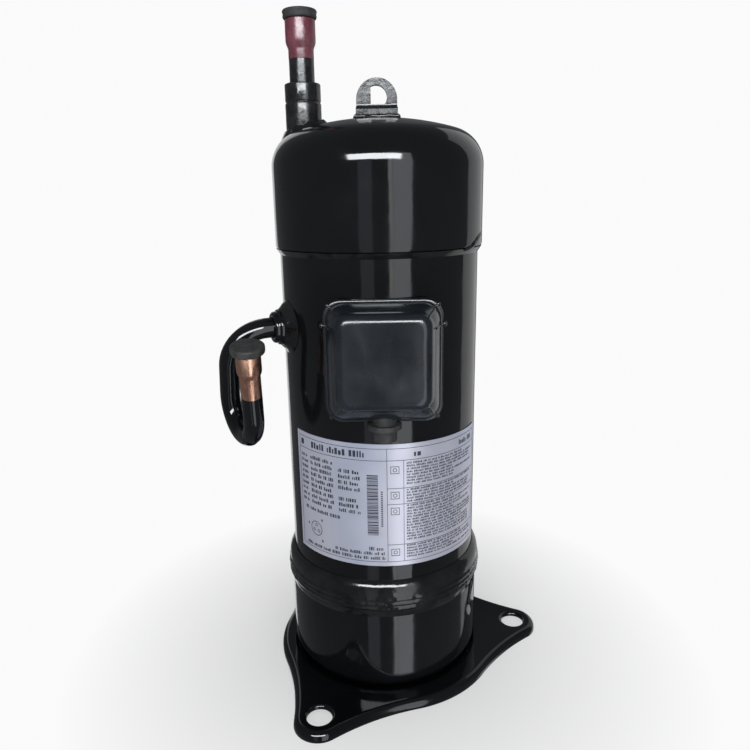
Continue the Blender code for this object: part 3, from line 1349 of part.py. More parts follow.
def main():
    clear_scene()
    finishes = make_finishes()
    dome_cutter()
    make_base_plate(finishes["enamel"])
    make_bottom_cap(finishes["enamel"])
    make_barrel(finishes["enamel"])
    make_top_cap(finishes["enamel"])
    make_seams(finishes["enamel"])
    make_lifting_lug(finishes["enamel"])
    make_label(finishes["label"])
    make_suction_socket(finishes["enamel"])
    make_suction_pipe(finishes)
    make_discharge_socket(finishes["enamel"])
    make_discharge_pipe(finishes)
    make_terminals(finishes)
    make_cover(finishes["plastic"])
    make_gasket(finishes["rubber"])
    make_grommet(finishes["rubber"])
    make_crankshaft(finishes["steel"])
    make_bearings(finishes)
    make_lower_bearing_housing(finishes["iron"])
    make_oil_pickup(finishes["steel"])
    make_stator_core(finishes["lamination"])
    make_stator_winding(finishes["winding"])
    make_rotor(finishes)
    make_balance_weights(finishes["brass"])
    make_motor_leads(finishes["rubber"])
    make_main_housing(finishes["iron"])
    make_oldham_ring(finishes["aluminium"])
    make_orbiting_scroll(finishes["aluminium"])
    make_fixed_scroll(finishes["iron"])
    make_scroll_bolts(finishes["steel"])
    make_discharge_valve(finishes["steel"])
    make_muffler(finishes["steel"])


main()
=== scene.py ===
"""The looks of a hermetic scroll compressor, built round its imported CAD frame.

Metres, +Z up, the CAD's own frame: the shell's axis is Z and the terminal cover faces -Y. Angles
called azimuth are measured from -Y towards +X, looking down.
"""

import json
import math
import random

import bmesh
import bpy
from mathutils import Matrix, Vector, noise


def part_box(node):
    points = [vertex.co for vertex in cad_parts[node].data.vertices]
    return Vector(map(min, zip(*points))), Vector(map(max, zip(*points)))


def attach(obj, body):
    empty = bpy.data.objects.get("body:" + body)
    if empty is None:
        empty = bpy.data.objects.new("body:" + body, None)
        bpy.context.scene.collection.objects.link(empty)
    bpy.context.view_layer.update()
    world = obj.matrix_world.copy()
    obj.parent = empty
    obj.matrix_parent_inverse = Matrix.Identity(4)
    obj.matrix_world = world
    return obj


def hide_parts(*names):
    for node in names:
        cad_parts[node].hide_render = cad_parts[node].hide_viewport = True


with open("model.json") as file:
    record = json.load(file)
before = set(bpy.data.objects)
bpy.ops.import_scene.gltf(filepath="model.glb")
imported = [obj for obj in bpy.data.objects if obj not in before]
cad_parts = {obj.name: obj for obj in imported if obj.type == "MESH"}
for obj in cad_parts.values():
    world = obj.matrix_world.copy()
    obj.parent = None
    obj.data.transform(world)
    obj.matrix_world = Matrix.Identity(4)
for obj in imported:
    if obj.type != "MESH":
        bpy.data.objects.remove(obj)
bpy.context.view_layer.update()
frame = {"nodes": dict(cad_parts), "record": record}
noise.seed_set(7)  # or noise_vector differs from run to run

# sizes, from the frame


def top_of(node):
    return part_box(node)[1].z


def foot_of(node):
    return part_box(node)[0].z


def reach_of(node):
    """How far a node on the shell's axis goes along +X, which is its radius."""
    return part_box(node)[1].x


SHELL_SIDES = 160
SMALL_SIDES = 64
BARREL_RADIUS = reach_of("barrel")
BARREL_BORE = BARREL_RADIUS - 0.0036
CAP_RADIUS = reach_of("top_cap")
CAP_WALL = 0.003
CROWN_RADIUS = 0.221
KNUCKLE_RADIUS = 0.028
APEX = top_of("top_cap")
CAP_RIM = foot_of("top_cap")
CUP_CORNER = 0.016

PLATE_TOP = top_of("base_plate")
PLATE_THICKNESS = 0.004
PLATE_RING = 0.0995
PLATE_SHIFT = Vector((0.003, -0.001))
FOOT_CIRCLE = 0.1236
FOOT_END = 0.0208
FOOT_BLEND = 0.200
FOOT_HOLE = 0.01025
FOOT_AZIMUTHS = (-25.4, 94.6, 214.6)
SEAT_RADIUS = 0.0822

LUG_X = 0.0002
LUG_WIDTH = 0.0316
LUG_THICKNESS = 0.006
LUG_TOP = top_of("lifting_lug")
LUG_EYE = 0.0086
LUG_EYE_X = -0.0007
LUG_EYE_Z = LUG_TOP - 0.0138
LUG_FLAT = 0.0039
LUG_FOOT_TOP = APEX + LUG_THICKNESS
LUG_FOOT_FRONT = -0.022
LUG_BEND = 0.004

LABEL_AZIMUTHS = (-57.5, 71.0)
LABEL_LOW = foot_of("name_label")
LABEL_HEIGHT = top_of("name_label") - LABEL_LOW
LABEL_RADIUS = BARREL_RADIUS + 0.0003
LABEL_THICKNESS = 0.0003
LABEL_SLOPE = -0.00125  # rise per radian: it was stuck on slightly askew
PRINT_LIFTS = (0.00001, 0.00006)  # the print film's two faces, above the foil

SUCTION_X = -0.0568
SUCTION_RADIUS = 0.00955
SUCTION_WALL = 0.00125
SUCTION_BELL = 0.01145
SUCTION_BELL_LOW = 0.5145
SUCTION_END = top_of("suction_pipe")
SUCTION_PAINT_EDGE = 0.5070
SOCKET_RADIUS = 0.0139
SOCKET_TOP = top_of("suction_socket")

DISCHARGE_AZIMUTH = -67.0
DISCHARGE_Z = 0.307
DISCHARGE_RADIUS = 0.00794
DISCHARGE_WALL = 0.0011
DISCHARGE_BELL = 0.0093
DISCHARGE_BELL_LENGTH = 0.015
DISCHARGE_BARE_LENGTH = 0.036
DISCHARGE_CORNERS = (  # from where the pipe's axis meets the barrel
    Vector((-0.0434, -0.0182, 0.0)),
    Vector((-0.0554, 0.0133, -0.1180)),
    Vector((-0.0232, -0.0417, -0.0725)),
    Vector((-0.0215, -0.0574, -0.0080)),
)
DISCHARGE_BENDS = (0.0298, 0.0240, 0.0268)

TERMINAL_Z = 0.289
COVER_X = 0.0022
COVER_WIDTH = 0.0875
COVER_HEIGHT = 0.0920
COVER_WALL = 0.0022
COVER_SEAT = BARREL_RADIUS + 0.0021
GROMMET_WIDTH = 0.0260
GROMMET_DEPTH = 0.0145
GROMMET_NECK = 0.0035  # the neck and the nozzle are this much smaller all round
FRONT = Vector((0, -1, 0))


# material tools


def new_material(name, colour, roughness, metallic=0.0, **sockets):
    """A Principled BSDF material and its shader node."""
    material = bpy.data.materials.new(name)
    material.use_nodes = True
    shader = material.node_tree.nodes["Principled BSDF"]
    shader.inputs["Base Color"].default_value = (*colour, 1.0)
    shader.inputs["Roughness"].default_value = roughness
    shader.inputs["Metallic"].default_value = metallic
    for socket, value in sockets.items():
        shader.inputs[socket.replace("_", " ")].default_value = value
    return material, shader


def node(material, kind, **settings):
    made = material.node_tree.nodes.new(kind)
    for setting, value in settings.items():
        setattr(made, setting, value)
    return made


def link(material, source, target):
    material.node_tree.links.new(source, target)


def place_in_object(material, stretch=(1.0, 1.0, 1.0)):
    """Object coordinates, in metres times a stretch along each axis."""
    coordinates = node(material, "ShaderNodeTexCoord")
    mapping = node(material, "ShaderNodeMapping")
    mapping.inputs["Scale"].default_value = stretch
    link(material, coordinates.outputs["Object"], mapping.inputs["Vector"])
    return mapping.outputs["Vector"]


def noise_of(material, scale, detail=3.0, stretch=1.0, distortion=0.0):
    texture = node(material, "ShaderNodeTexNoise")
    texture.inputs["Scale"].default_value = scale
    texture.inputs["Detail"].default_value = detail
    texture.inputs["Distortion"].default_value = distortion
    link(material, place_in_object(material, (1.0, 1.0, stretch)), texture.inputs["Vector"])
    return texture.outputs["Fac"]


def bands_of(material, scale, direction="Z", distortion=0.0):
    texture = node(material, "ShaderNodeTexWave", bands_direction=direction)
    texture.inputs["Scale"].default_value = scale
    texture.inputs["Distortion"].default_value = distortion
    link(material, place_in_object(material), texture.inputs["Vector"])
    return texture.outputs["Fac"]


def spread(material, factor, low, high, start=0.35, end=0.65):
    """A factor's middle stretch mapped to a range of values."""
    mapped = node(material, "ShaderNodeMapRange")
    for socket, value in (("From Min", start), ("From Max", end), ("To Min", low), ("To Max", high)):
        mapped.inputs[socket].default_value = value
    link(material, factor, mapped.inputs["Value"])
    return mapped.outputs["Result"]


def tint(material, shader, factor, first, second, start=0.35, end=0.65):
    """Colours the shader from one colour to another."""
    ramp = node(material, "ShaderNodeValToRGB")
    ramp.color_ramp.elements[0].position = start
    ramp.color_ramp.elements[0].color = (*first, 1.0)
    ramp.color_ramp.elements[1].position = end
    ramp.color_ramp.elements[1].color = (*second, 1.0)
    link(material, factor, ramp.inputs["Fac"])
    link(material, ramp.outputs["Color"], shader.inputs["Base Color"])


def roughen(material, shader, factor, low, high):
    link(material, spread(material, factor, low, high), shader.inputs["Roughness"])


def relief(material, shader, *layers):
    """Bumps from (factor, height in metres) pairs, the coarsest first."""
    normal = None
    for factor, height in layers:
        bump = node(material, "ShaderNodeBump")
        bump.inputs["Strength"].default_value = 1.0
        bump.inputs["Distance"].default_value = height
        link(material, factor, bump.inputs["Height"])
        if normal:
            link(material, normal, bump.inputs["Normal"])
        normal = bump.outputs["Normal"]
    link(material, normal, shader.inputs["Normal"])


# materials


def grain(*settings):
    """Noise for whichever material asks for it: scale, detail, stretch, distortion."""
    return lambda material: noise_of(material, *settings)


def bands(*settings):
    """Wave bands for whichever material asks for them: scale, direction, distortion."""
    return lambda material: bands_of(material, *settings)


def finish(name, colour, roughness, metallic, tones, sheen, *layers, **sockets):
    """A material whose colour, roughness and relief all vary over the surface."""
    material, shader = new_material(name, colour, roughness, metallic, **sockets)
    tint(material, shader, tones[0](material), *tones[1:])
    if sheen:
        roughen(material, shader, sheen[0](material), *sheen[1:])
    relief(material, shader, *((layer(material), height) for layer, height in layers))
    return material


BRAID = bands(700, "DIAGONAL", 1.0)
SHEETS = bands(320, "Z", 0.3)
TURNS = bands(260, "DIAGONAL", 2.5)

# one for each of the record's slots, and three that only the looks need
materials = {
    # gloss black: orange peel, slow waves and a faint dust film
    "black_enamel": finish(
        "gloss_enamel", (0.006, 0.007, 0.009), 0.08, 0.0,
        (grain(9, 5), (0.003, 0.0034, 0.0042), (0.0065, 0.007, 0.0085)),
        (grain(30, 4), 0.05, 0.13),
        (grain(38, 1.5), 0.00022), (grain(330, 2.0), 0.000014),
    ),
    # the same over weld metal, with its ripples showing through
    "weld": finish(
        "weld_enamel", (0.007, 0.008, 0.010), 0.12, 0.0,
        (grain(60, 5), (0.005, 0.006, 0.007), (0.014, 0.014, 0.015)),
        (grain(90, 4), 0.07, 0.18),
        (grain(150, 2.0, 1.6), 0.00016), (grain(700, 2.0), 0.00002),
    ),
    # duller than the gloss, with a lighter base colour that is partly dust and partly painted sheen, on
    # the lug and the suction stub
    "satin": finish(
        "satin_enamel", (0.012, 0.013, 0.015), 0.24, 0.0,
        (grain(120, 6), (0.007, 0.008, 0.010), (0.022, 0.022, 0.024)),
        (grain(160, 4), 0.12, 0.30),
        (grain(90, 2), 0.0002), (grain(520, 3), 0.00006),
    ),
    "maroon_paint": finish(
        "maroon_paint", (0.16, 0.022, 0.045), 0.35, 0.0,
        (grain(110, 5, 0.4, 0.4), (0.115, 0.024, 0.040), (0.23, 0.078, 0.10), 0.3, 0.75),
        (grain(200, 4), 0.20, 0.38),
        (grain(80, 2), 0.0004), (grain(420, 3, 0.25), 0.00008),
    ),
    "ink": finish(
        "print_ink", (0.025, 0.03, 0.045), 0.5, 0.0,
        (grain(900, 4), (0.018, 0.022, 0.038), (0.06, 0.07, 0.10), 0.45, 0.8),
        (), (grain(2200, 2), 0.00001),
    ),
    "rubber": finish(
        "matt_rubber", (0.018, 0.018, 0.019), 0.75, 0.0,
        (grain(160, 6), (0.013, 0.013, 0.014), (0.034, 0.033, 0.032)),
        (grain(90, 4), 0.6, 0.85),
        (grain(240, 3), 0.00016), (grain(2600, 2), 0.00003),
    ),
    # satin black with a fine spark grain and rub marks
    "cover_plastic": finish(
        "moulded_plastic", (0.012, 0.014, 0.018), 0.36, 0.0,
        (grain(26, 5), (0.008, 0.010, 0.013), (0.018, 0.022, 0.028)),
        (grain(45, 5, 0.5, 0.8), 0.16, 0.28),
        (grain(55, 1), 0.0004), (grain(3200, 2), 0.000022),
    ),
    "phenolic": finish(
        "moulded_phenolic", (0.045, 0.03, 0.026), 0.45, 0.0,
        (grain(300, 6), (0.030, 0.020, 0.018), (0.075, 0.052, 0.045)),
        (grain(160, 4), 0.35, 0.55),
        (grain(1500, 3), 0.00004),
    ),
    "lead_insulation": finish(
        "woven_sleeve", (0.60, 0.56, 0.47), 0.7, 0.0,
        (BRAID, (0.44, 0.40, 0.32), (0.68, 0.64, 0.55), 0.2, 0.8),
        (grain(400, 3), 0.6, 0.8),
        (BRAID, 0.00012),
    ),
    "copper": finish(
        "bare_copper", (0.75, 0.36, 0.22), 0.3, 1.0,
        (grain(120, 5, 0.35, 0.6), (0.95, 0.56, 0.40), (0.58, 0.27, 0.18), 0.36, 0.72),
        (grain(260, 4, 0.3), 0.22, 0.42),
        (grain(90, 2), 0.00025), (grain(900, 3, 0.08), 0.00004),
    ),
    # silver-blue foil, laid with slight wrinkles
    "label_foil": finish(
        "label_foil", (0.52, 0.55, 0.66), 0.34, 0.35,
        (grain(14, 3, 0.35), (0.45, 0.50, 0.64), (0.61, 0.60, 0.68), 0.3, 0.7),
        (grain(60, 4), 0.28, 0.42),
        (grain(30, 1), 0.0003), (grain(1400, 3, 0.06), 0.000012),
    ),
    "machined_steel": finish(
        "machined_steel", (0.55, 0.55, 0.56), 0.3, 1.0,
        (grain(70, 4), (0.48, 0.48, 0.50), (0.62, 0.61, 0.60)),
        (grain(150, 4), 0.22, 0.4),
        (grain(60, 2), 0.00008), (bands(900, "Z", 1.5), 0.000006),
    ),
    "cast_iron": finish(
        "grey_iron", (0.20, 0.20, 0.21), 0.55, 0.85,
        (grain(120, 6), (0.13, 0.13, 0.135), (0.27, 0.265, 0.26)),
        (grain(90, 4), 0.42, 0.68),
        (grain(420, 5), 0.00018), (bands(500), 0.00001),
    ),
    "cast_aluminium": finish(
        "cast_aluminium", (0.66, 0.67, 0.68), 0.42, 1.0,
        (grain(80, 5), (0.58, 0.59, 0.60), (0.74, 0.74, 0.74)),
        (grain(200, 4), 0.34, 0.52),
        (grain(600, 4), 0.0001),
    ),
    # stacked sheets with a blued tone
    "electrical_steel": finish(
        "laminations", (0.28, 0.29, 0.32), 0.45, 0.9,
        (SHEETS, (0.19, 0.20, 0.23), (0.36, 0.36, 0.38), 0.2, 0.8),
        (grain(140, 4), 0.36, 0.55),
        (SHEETS, 0.00006), (grain(300, 3), 0.00004),
    ),
    "enamelled_wire": finish(
        "varnished_wire", (0.50, 0.18, 0.05), 0.35, 0.5,
        (TURNS, (0.30, 0.09, 0.025), (0.62, 0.25, 0.08), 0.2, 0.8),
        (grain(180, 4), 0.28, 0.45),
        (TURNS, 0.0003), Coat_Weight=0.4,
    ),
    "bronze": finish(
        "bearing_bronze", (0.55, 0.36, 0.14), 0.35, 1.0,
        (grain(240, 5), (0.45, 0.28, 0.11), (0.62, 0.42, 0.18)),
        (grain(180, 4), 0.26, 0.45),
        (bands(800, "Z", 1.0), 0.00001),
    ),
    "brass": finish(
        "plain_brass", (0.75, 0.56, 0.25), 0.3, 1.0,
        (grain(160, 5), (0.62, 0.44, 0.18), (0.80, 0.61, 0.30)),
        (grain(220, 4), 0.2, 0.4),
        (grain(500, 3), 0.00004),
    ),
}


# shape tools


def azimuth_direction(azimuth):
    angle = math.radians(azimuth)
    return Vector((math.sin(angle), -math.cos(angle), 0.0))


def on_round(azimuth, radius, height):
    return azimuth_direction(azimuth) * radius + Vector((0, 0, height))


def shares(steps):
    """Even shares of a way, from 0 to 1."""
    return [step / steps for step in range(steps + 1)]


def arc(centre, radius, start, end, steps):
    """Points along a circle from one angle to another, in degrees."""
    points = []
    for step in range(steps + 1):
        angle = math.radians(start + (end - start) * step / steps)
        points.append((centre[0] + radius * math.cos(angle), centre[1] + radius * math.sin(angle)))
    return points


def frame_at(location, direction):
    """The matrix that stands a shape's Z axis along a direction, at a place."""
    turn = Vector((0, 0, 1)).rotation_difference(Vector(direction)).to_matrix().to_4x4()
    return Matrix.Translation(location) @ turn


def softened(profile, bevel, steps=3):
    """A (radius, height) outline with its corners rounded, apart from those on the axis."""
    points = []
    count = len(profile)
    for index, corner in enumerate(profile):
        here = Vector(corner)
        back = Vector(profile[index - 1]) - here
        on = Vector(profile[(index + 1) % count]) - here
        reach = min(bevel, back.length * 0.4, on.length * 0.4)
        if corner[0] < 1e-6 or reach < 1e-6:
            points.append(corner)
            continue
        start = here + back.normalized() * reach
        end = here + on.normalized() * reach
        for share in shares(steps):
            point = start * (1 - share) ** 2 + here * 2 * share * (1 - share) + end * share**2
            points.append((point.x, point.y))
    return points


def skin(shape, loops, closed=True):
    """Faces between neighbouring loops, and from the last back to the first."""
    pairs = list(zip(loops, loops[1:]))
    if closed:
        pairs.append((loops[-1], loops[0]))
    for first, second in pairs:
        count = max(len(first), len(second))
        if count == 1:
            continue
        for index in range(count):
            after = (index + 1) % count
            corners = [first[index % len(first)], first[after % len(first)]]
            corners += [second[after % len(second)], second[index % len(second)]]
            shape.faces.new(list(dict.fromkeys(corners)))


def turned_shape(profile, sides=SMALL_SIDES, shift=None):
    """A closed outline turned round Z. shift(angle, radius, height) may move each point."""
    shape = bmesh.new()
    loops = []
    for radius, height in profile:
        if radius < 1e-6:
            loops.append([shape.verts.new((0, 0, height))])
            continue
        loop = []
        for side in range(sides):
            angle = 2 * math.pi * side / sides
            r, z = shift(angle, radius, height) if shift else (radius, height)
            loop.append(shape.verts.new((r * math.cos(angle), r * math.sin(angle), z)))
        loops.append(loop)
    skin(shape, loops)
    return shape


def rounded_route(corners, bends, steps=14):
    """A route through corners, with an arc of the given radius at each inner one."""
    points = [corners[0]]
    for before, corner, after, bend in zip(corners, corners[1:], corners[2:], bends):
        back = (before - corner).normalized()
        on = (after - corner).normalized()
        half = back.angle(on) / 2
        centre = corner + (back + on).normalized() * bend / math.sin(half)
        first = corner + back * bend / math.tan(half) - centre
        last = corner + on * bend / math.tan(half) - centre
        sweep = first.angle(last)
        for share in shares(steps):
            spoke = first * math.sin((1 - share) * sweep) + last * math.sin(share * sweep)
            points.append(centre + spoke / math.sin(sweep))
    return points + [corners[-1]]


def swept_loops(shape, route, radii, sides=32):
    """Rings square to a route, turned from one to the next without twist."""
    loops = []
    across = None
    for index, (point, radius) in enumerate(zip(route, radii)):
        ahead = route[min(index + 1, len(route) - 1)] - point
        behind = point - route[max(index - 1, 0)]
        along = (ahead.normalized() + behind.normalized()).normalized()
        if across is None:
            across = along.orthogonal().normalized()
        across = (across - along * across.dot(along)).normalized()
        other = along.cross(across)
        loop = []
        for side in range(sides):
            angle = 2 * math.pi * side / sides
            spoke = across * math.cos(angle) + other * math.sin(angle)
            loop.append(shape.verts.new(point + spoke * radius))
        loops.append(loop)
    return loops


def rod_shape(route, radii, sides=16):
    """A solid round bar along a route, closed at both ends."""
    shape = bmesh.new()
    loops = swept_loops(shape, route, radii, sides)
    skin(shape, loops, closed=False)
    shape.faces.new(loops[0])
    shape.faces.new(loops[-1])
    return shape


def slab_shape(outline, low, high, holes=()):
    """A flat outline with holes, extruded along Z."""
    shape = bmesh.new()
    edges = []
    for loop in (outline, *holes):
        corners = [shape.verts.new((x, y, low)) for x, y in loop]
        edges += [shape.edges.new(pair) for pair in zip(corners, corners[1:] + corners[:1])]
    bmesh.ops.triangle_fill(shape, use_beauty=True, use_dissolve=False, edges=edges)
    grown = bmesh.ops.extrude_face_region(shape, geom=shape.faces[:])["geom"]
    moved = [item for item in grown if isinstance(item, bmesh.types.BMVert)]
    bmesh.ops.translate(shape, vec=(0, 0, high - low), verts=moved)
    return shape


def roughened(shape, amount, scale, seed):
    """Moves a shape's points a little, as weld metal flows."""
    offset = Vector((seed, seed * 0.37, 0))
    for vert in shape.verts:
        vert.co += noise.noise_vector(vert.co * scale + offset) * amount
    return shape


def to_object(name, shape, matrix=None, angle=38):
    if matrix:
        shape.transform(matrix)
    bmesh.ops.recalc_face_normals(shape, faces=shape.faces)
    mesh = bpy.data.meshes.new(name)
    shape.to_mesh(mesh)
    shape.free()
    mesh.shade_smooth()
    mesh.set_sharp_from_angle(angle=math.radians(angle))
    made = bpy.data.objects.new(name, mesh)
    bpy.context.scene.collection.objects.link(made)
    return made


def add(name, shape, material, *replaced, body="shell", matrix=None, angle=38):
    """Turns a bmesh into a shown piece that rides on a body and stands for some CAD nodes."""
    piece = to_object(name, shape, matrix, angle)
    piece.data.materials.append(materials[material])
    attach(piece, body)
    if replaced:
        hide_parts(*replaced)
    return piece


def add_turned(name, profile, material, *replaced, soft, steps=3, sides=SMALL_SIDES, **placing):
    """A softened outline turned round Z, as a shown piece."""
    shape = turned_shape(softened(profile, soft, steps), sides)
    return add(name, shape, material, *replaced, **placing)


def helper(name, shape, matrix=None):
    """A Boolean's other object, which isn't shown and is dropped once used."""
    made = to_object(name, shape, matrix)
    made.hide_render = True
    made.hide_viewport = True
    return made


def apply_boolean(piece, tool, operation):
    """Applies one Boolean and drops its tool."""
    modifier = piece.modifiers.new(operation.lower(), "BOOLEAN")
    modifier.operation = operation
    modifier.solver = "EXACT"
    modifier.object = tool
    graph = bpy.context.evaluated_depsgraph_get()
    graph.update()
    result = bpy.data.meshes.new_from_object(piece.evaluated_get(graph))
    piece.modifiers.clear()
    old = piece.data
    piece.data = result
    result.name = piece.name
    bpy.data.meshes.remove(old)
    bpy.data.objects.remove(tool, do_unlink=True)
    piece.data.shade_smooth()
    piece.data.set_sharp_from_angle(angle=math.radians(38))


def add_bevel(piece, width, segments=2):
    modifier = piece.modifiers.new("edge", "BEVEL")
    modifier.width = width
    modifier.segments = segments
    modifier.limit_method = "ANGLE"
    modifier.angle_limit = math.radians(50)


# base plate


def foot_centres():
    return [azimuth_direction(azimuth) * FOOT_CIRCLE for azimuth in FOOT_AZIMUTHS]


def plate_outline(inset):
    """The three-lobed outline, pulled in by a distance. Its arcs keep their centres."""
    ring = PLATE_RING - inset
    foot = FOOT_END - inset
    blend = FOOT_BLEND + inset
    to_blend = PLATE_RING + FOOT_BLEND
    foot_to_blend = FOOT_END + FOOT_BLEND
    lobes = []
    for centre in foot_centres():
        reach = (centre.xy - PLATE_SHIFT).length
        heading = math.degrees(math.atan2(centre.y - PLATE_SHIFT.y, centre.x - PLATE_SHIFT.x))
        at_ring = (to_blend**2 + reach**2 - foot_to_blend**2) / (2 * to_blend * reach)
        at_foot = (foot_to_blend**2 + reach**2 - to_blend**2) / (2 * foot_to_blend * reach)
        swing = math.degrees(math.acos(at_ring))
        lobes.append((centre, heading, swing, 180 - math.degrees(math.acos(at_foot))))
    points = []
    for number, (centre, heading, swing, turn) in enumerate(lobes):
        for side in (-1, 1):
            middle = arc(PLATE_SHIFT, to_blend, heading + side * swing, heading, 1)[0]
            inward = heading + side * (swing + 180)
            blend_arc = arc(middle, blend, inward, inward + side * (turn - swing), 12)
            if side < 0:
                points += blend_arc[:-1] + arc(centre, foot, heading - turn, heading + turn, 36)
            else:
                points += blend_arc[::-1][1:]
        _, next_heading, next_swing, _ = lobes[(number + 1) % len(lobes)]
        gap = (next_heading - next_swing - heading - swing) % 360
        points += arc(PLATE_SHIFT, ring, heading + swing, heading + swing + gap, 16)[1:-1]
    return points


def make_base_plate():
    """Pressed plate: rolled rim, rolled foot holes, and a seat that dips to the cup."""
    shape = bmesh.new()

    def ring(points, height):
        corners = [shape.verts.new((x, y, height)) for x, y in points]
        edges = [shape.edges.new(pair) for pair in zip(corners, corners[1:] + corners[:1])]
        return corners, edges

    under = PLATE_TOP - PLATE_THICKNESS
    rim = [(0.0070, PLATE_TOP)]
    rim += [(0.0052 - x, PLATE_TOP - 0.0048 + z) for x, z in arc((0, 0), 0.0050, 90, 0, 8)]
    rim += [(0.0, 0.0006), (0.0006, 0.0), (0.0032, 0.0), (0.0036, 0.0006), (0.0036, 0.0022)]
    rim += [(0.0048, under), (0.0070, under)]
    rims = [ring(plate_outline(inset), height) for inset, height in rim]
    skin(shape, [corners for corners, _ in rims], closed=False)
    top_edges = list(rims[0][1])
    under_edges = list(rims[-1][1])
    for centre in foot_centres():
        rolled = [(0.0030, PLATE_TOP), (0.0014, PLATE_TOP - 0.0001), (0.0004, PLATE_TOP - 0.0007)]
        rolled += [(0.0, PLATE_TOP - 0.0018), (0.0, under + 0.0006), (0.0006, under), (0.0022, under)]
        hole = [ring(arc(centre, FOOT_HOLE + out, 0, 360, 48)[:-1], z) for out, z in rolled]
        skin(shape, [corners for corners, _ in hole], closed=False)
        top_edges += hole[0][1]
        under_edges += hole[-1][1]
    seat = [(0.0032, PLATE_TOP), (0.0012, PLATE_TOP - 0.0002), (0.0, PLATE_TOP - 0.0012)]
    seat += [(-0.0012, PLATE_THICKNESS + 0.0010), (-0.0026, PLATE_THICKNESS)]
    upper = [ring(arc((0, 0), SEAT_RADIUS + out, 0, 360, SHELL_SIDES)[:-1], z) for out, z in seat]
    skin(shape, [corners for corners, _ in upper], closed=False)
    shape.faces.new(upper[-1][0])
    top_edges += upper[0][1]
    around = SEAT_RADIUS + PLATE_THICKNESS
    seat = [(0.0022, under), (0.0, under - 0.0008), (-0.0015, 0.0)]
    lower = [ring(arc((0, 0), around + out, 0, 360, SHELL_SIDES)[:-1], z) for out, z in seat]
    skin(shape, [corners for corners, _ in lower], closed=False)
    shape.faces.new(lower[-1][0])
    under_edges += lower[0][1]
    for edges in (top_edges, under_edges):
        bmesh.ops.triangle_fill(shape, use_beauty=True, use_dissolve=False, edges=edges)
    add("plate_skin", shape, "black_enamel", "base_plate", angle=60)


# shell


def dome_height(radius):
    """The top cap's outer height at a distance from its axis."""
    turn = math.acos((CAP_RADIUS - KNUCKLE_RADIUS) / (CROWN_RADIUS - KNUCKLE_RADIUS))
    centre = APEX - CROWN_RADIUS
    if radius < CROWN_RADIUS * math.cos(turn):
        return centre + math.sqrt(CROWN_RADIUS**2 - radius**2)
    knuckle_z = centre + (CROWN_RADIUS - KNUCKLE_RADIUS) * math.sin(turn)
    across = min(radius, CAP_RADIUS) - (CAP_RADIUS - KNUCKLE_RADIUS)
    return knuckle_z + math.sqrt(max(KNUCKLE_RADIUS**2 - across**2, 0.0))


def cap_outline(offset):
    """Half outline of the dished cap, from its rim up and over to the apex."""
    radius = CAP_RADIUS - offset
    crown = CROWN_RADIUS - offset
    knuckle = KNUCKLE_RADIUS - offset
    turn = math.degrees(math.acos((radius - knuckle) / (crown - knuckle)))
    centre = APEX - CROWN_RADIUS
    knuckle_z = centre + math.sqrt((crown - knuckle) ** 2 - (radius - knuckle) ** 2)
    points = arc((radius - knuckle, knuckle_z), knuckle, 0, turn, 16)
    points += arc((0, centre), crown, turn, 90, 22)[1:-1]
    return points + [(0.0, centre + crown)]


def make_caps():
    """The drawn top cap, with a rolled rim, and the bottom cup."""
    outer = cap_outline(0.0)
    inner = cap_outline(CAP_WALL)
    side = [(CAP_RADIUS, CAP_RIM + 0.012), (CAP_RADIUS, CAP_RIM + 0.030)]
    rolled = ((CAP_WALL, 0.0004), (0.0016, 0.0), (0.0004, 0.0007), (0.0, 0.0022))
    rim = [(CAP_RADIUS - inward, CAP_RIM + rise) for inward, rise in rolled]
    shape = turned_shape(side + outer + inner[::-1] + rim, SHELL_SIDES, cap_wobble)
    add("cap_skin", shape, "black_enamel", "top_cap")

    floor = foot_of("bottom_cap")
    mouth = top_of("bottom_cap")
    bend = CUP_CORNER
    profile = [(0.0, floor)] + arc((CAP_RADIUS - bend, floor + bend), bend, -90, 0, 16)
    profile += [(CAP_RADIUS, 0.042), (CAP_RADIUS, mouth), (CAP_RADIUS - CAP_WALL, mouth)]
    inside = CAP_RADIUS - CAP_WALL
    profile += arc((inside - bend + CAP_WALL, floor + bend), bend - CAP_WALL, 0, -90, 8)
    profile += [(0.0, floor + CAP_WALL)]
    shape = turned_shape(profile, SHELL_SIDES)
    add("cup_skin", shape, "black_enamel", "bottom_cap")


def cap_wobble(angle, radius, height):
    """Drawn sheet is never quite round: a fraction of a millimetre on the cap's side."""
    share = min(max((radius - 0.060) / 0.02, 0.0), 1.0)
    place = Vector((math.cos(angle), math.sin(angle), height * 22))
    return radius - 0.00012 * share * (1 + noise.noise(place * 1.7)), height


def make_barrel():
    low = foot_of("barrel")
    high = top_of("barrel")
    outer = [(BARREL_RADIUS, low + (high - low) * step / 24) for step in range(25)]
    profile = outer + [(BARREL_BORE, high), (BARREL_BORE, low)]

    def bulge(angle, radius, height):
        place = Vector((math.cos(angle) * 1.3, math.sin(angle) * 1.3, height * 18))
        return radius - 0.0001 * (1 + noise.noise(place)), height

    add("barrel_skin", turned_shape(profile, SHELL_SIDES, bulge), "black_enamel", "barrel")


def seam_base(height, low, high, crest):
    """The weld's radius without its ridges: a quick rise, a flat crest and a long slope up."""
    rise, crest_end = 0.008, 0.0175
    if height < low + rise:
        share = max((height - low) / rise, 0.0)
        return CAP_RADIUS + 0.0002 + (crest - CAP_RADIUS - 0.0002) * math.sin(share * math.pi / 2)
    if height < low + crest_end:
        return crest
    share = (height - low - crest_end) / (high - low - crest_end)
    return crest + (BARREL_RADIUS + 0.0003 - crest) * share**3.5


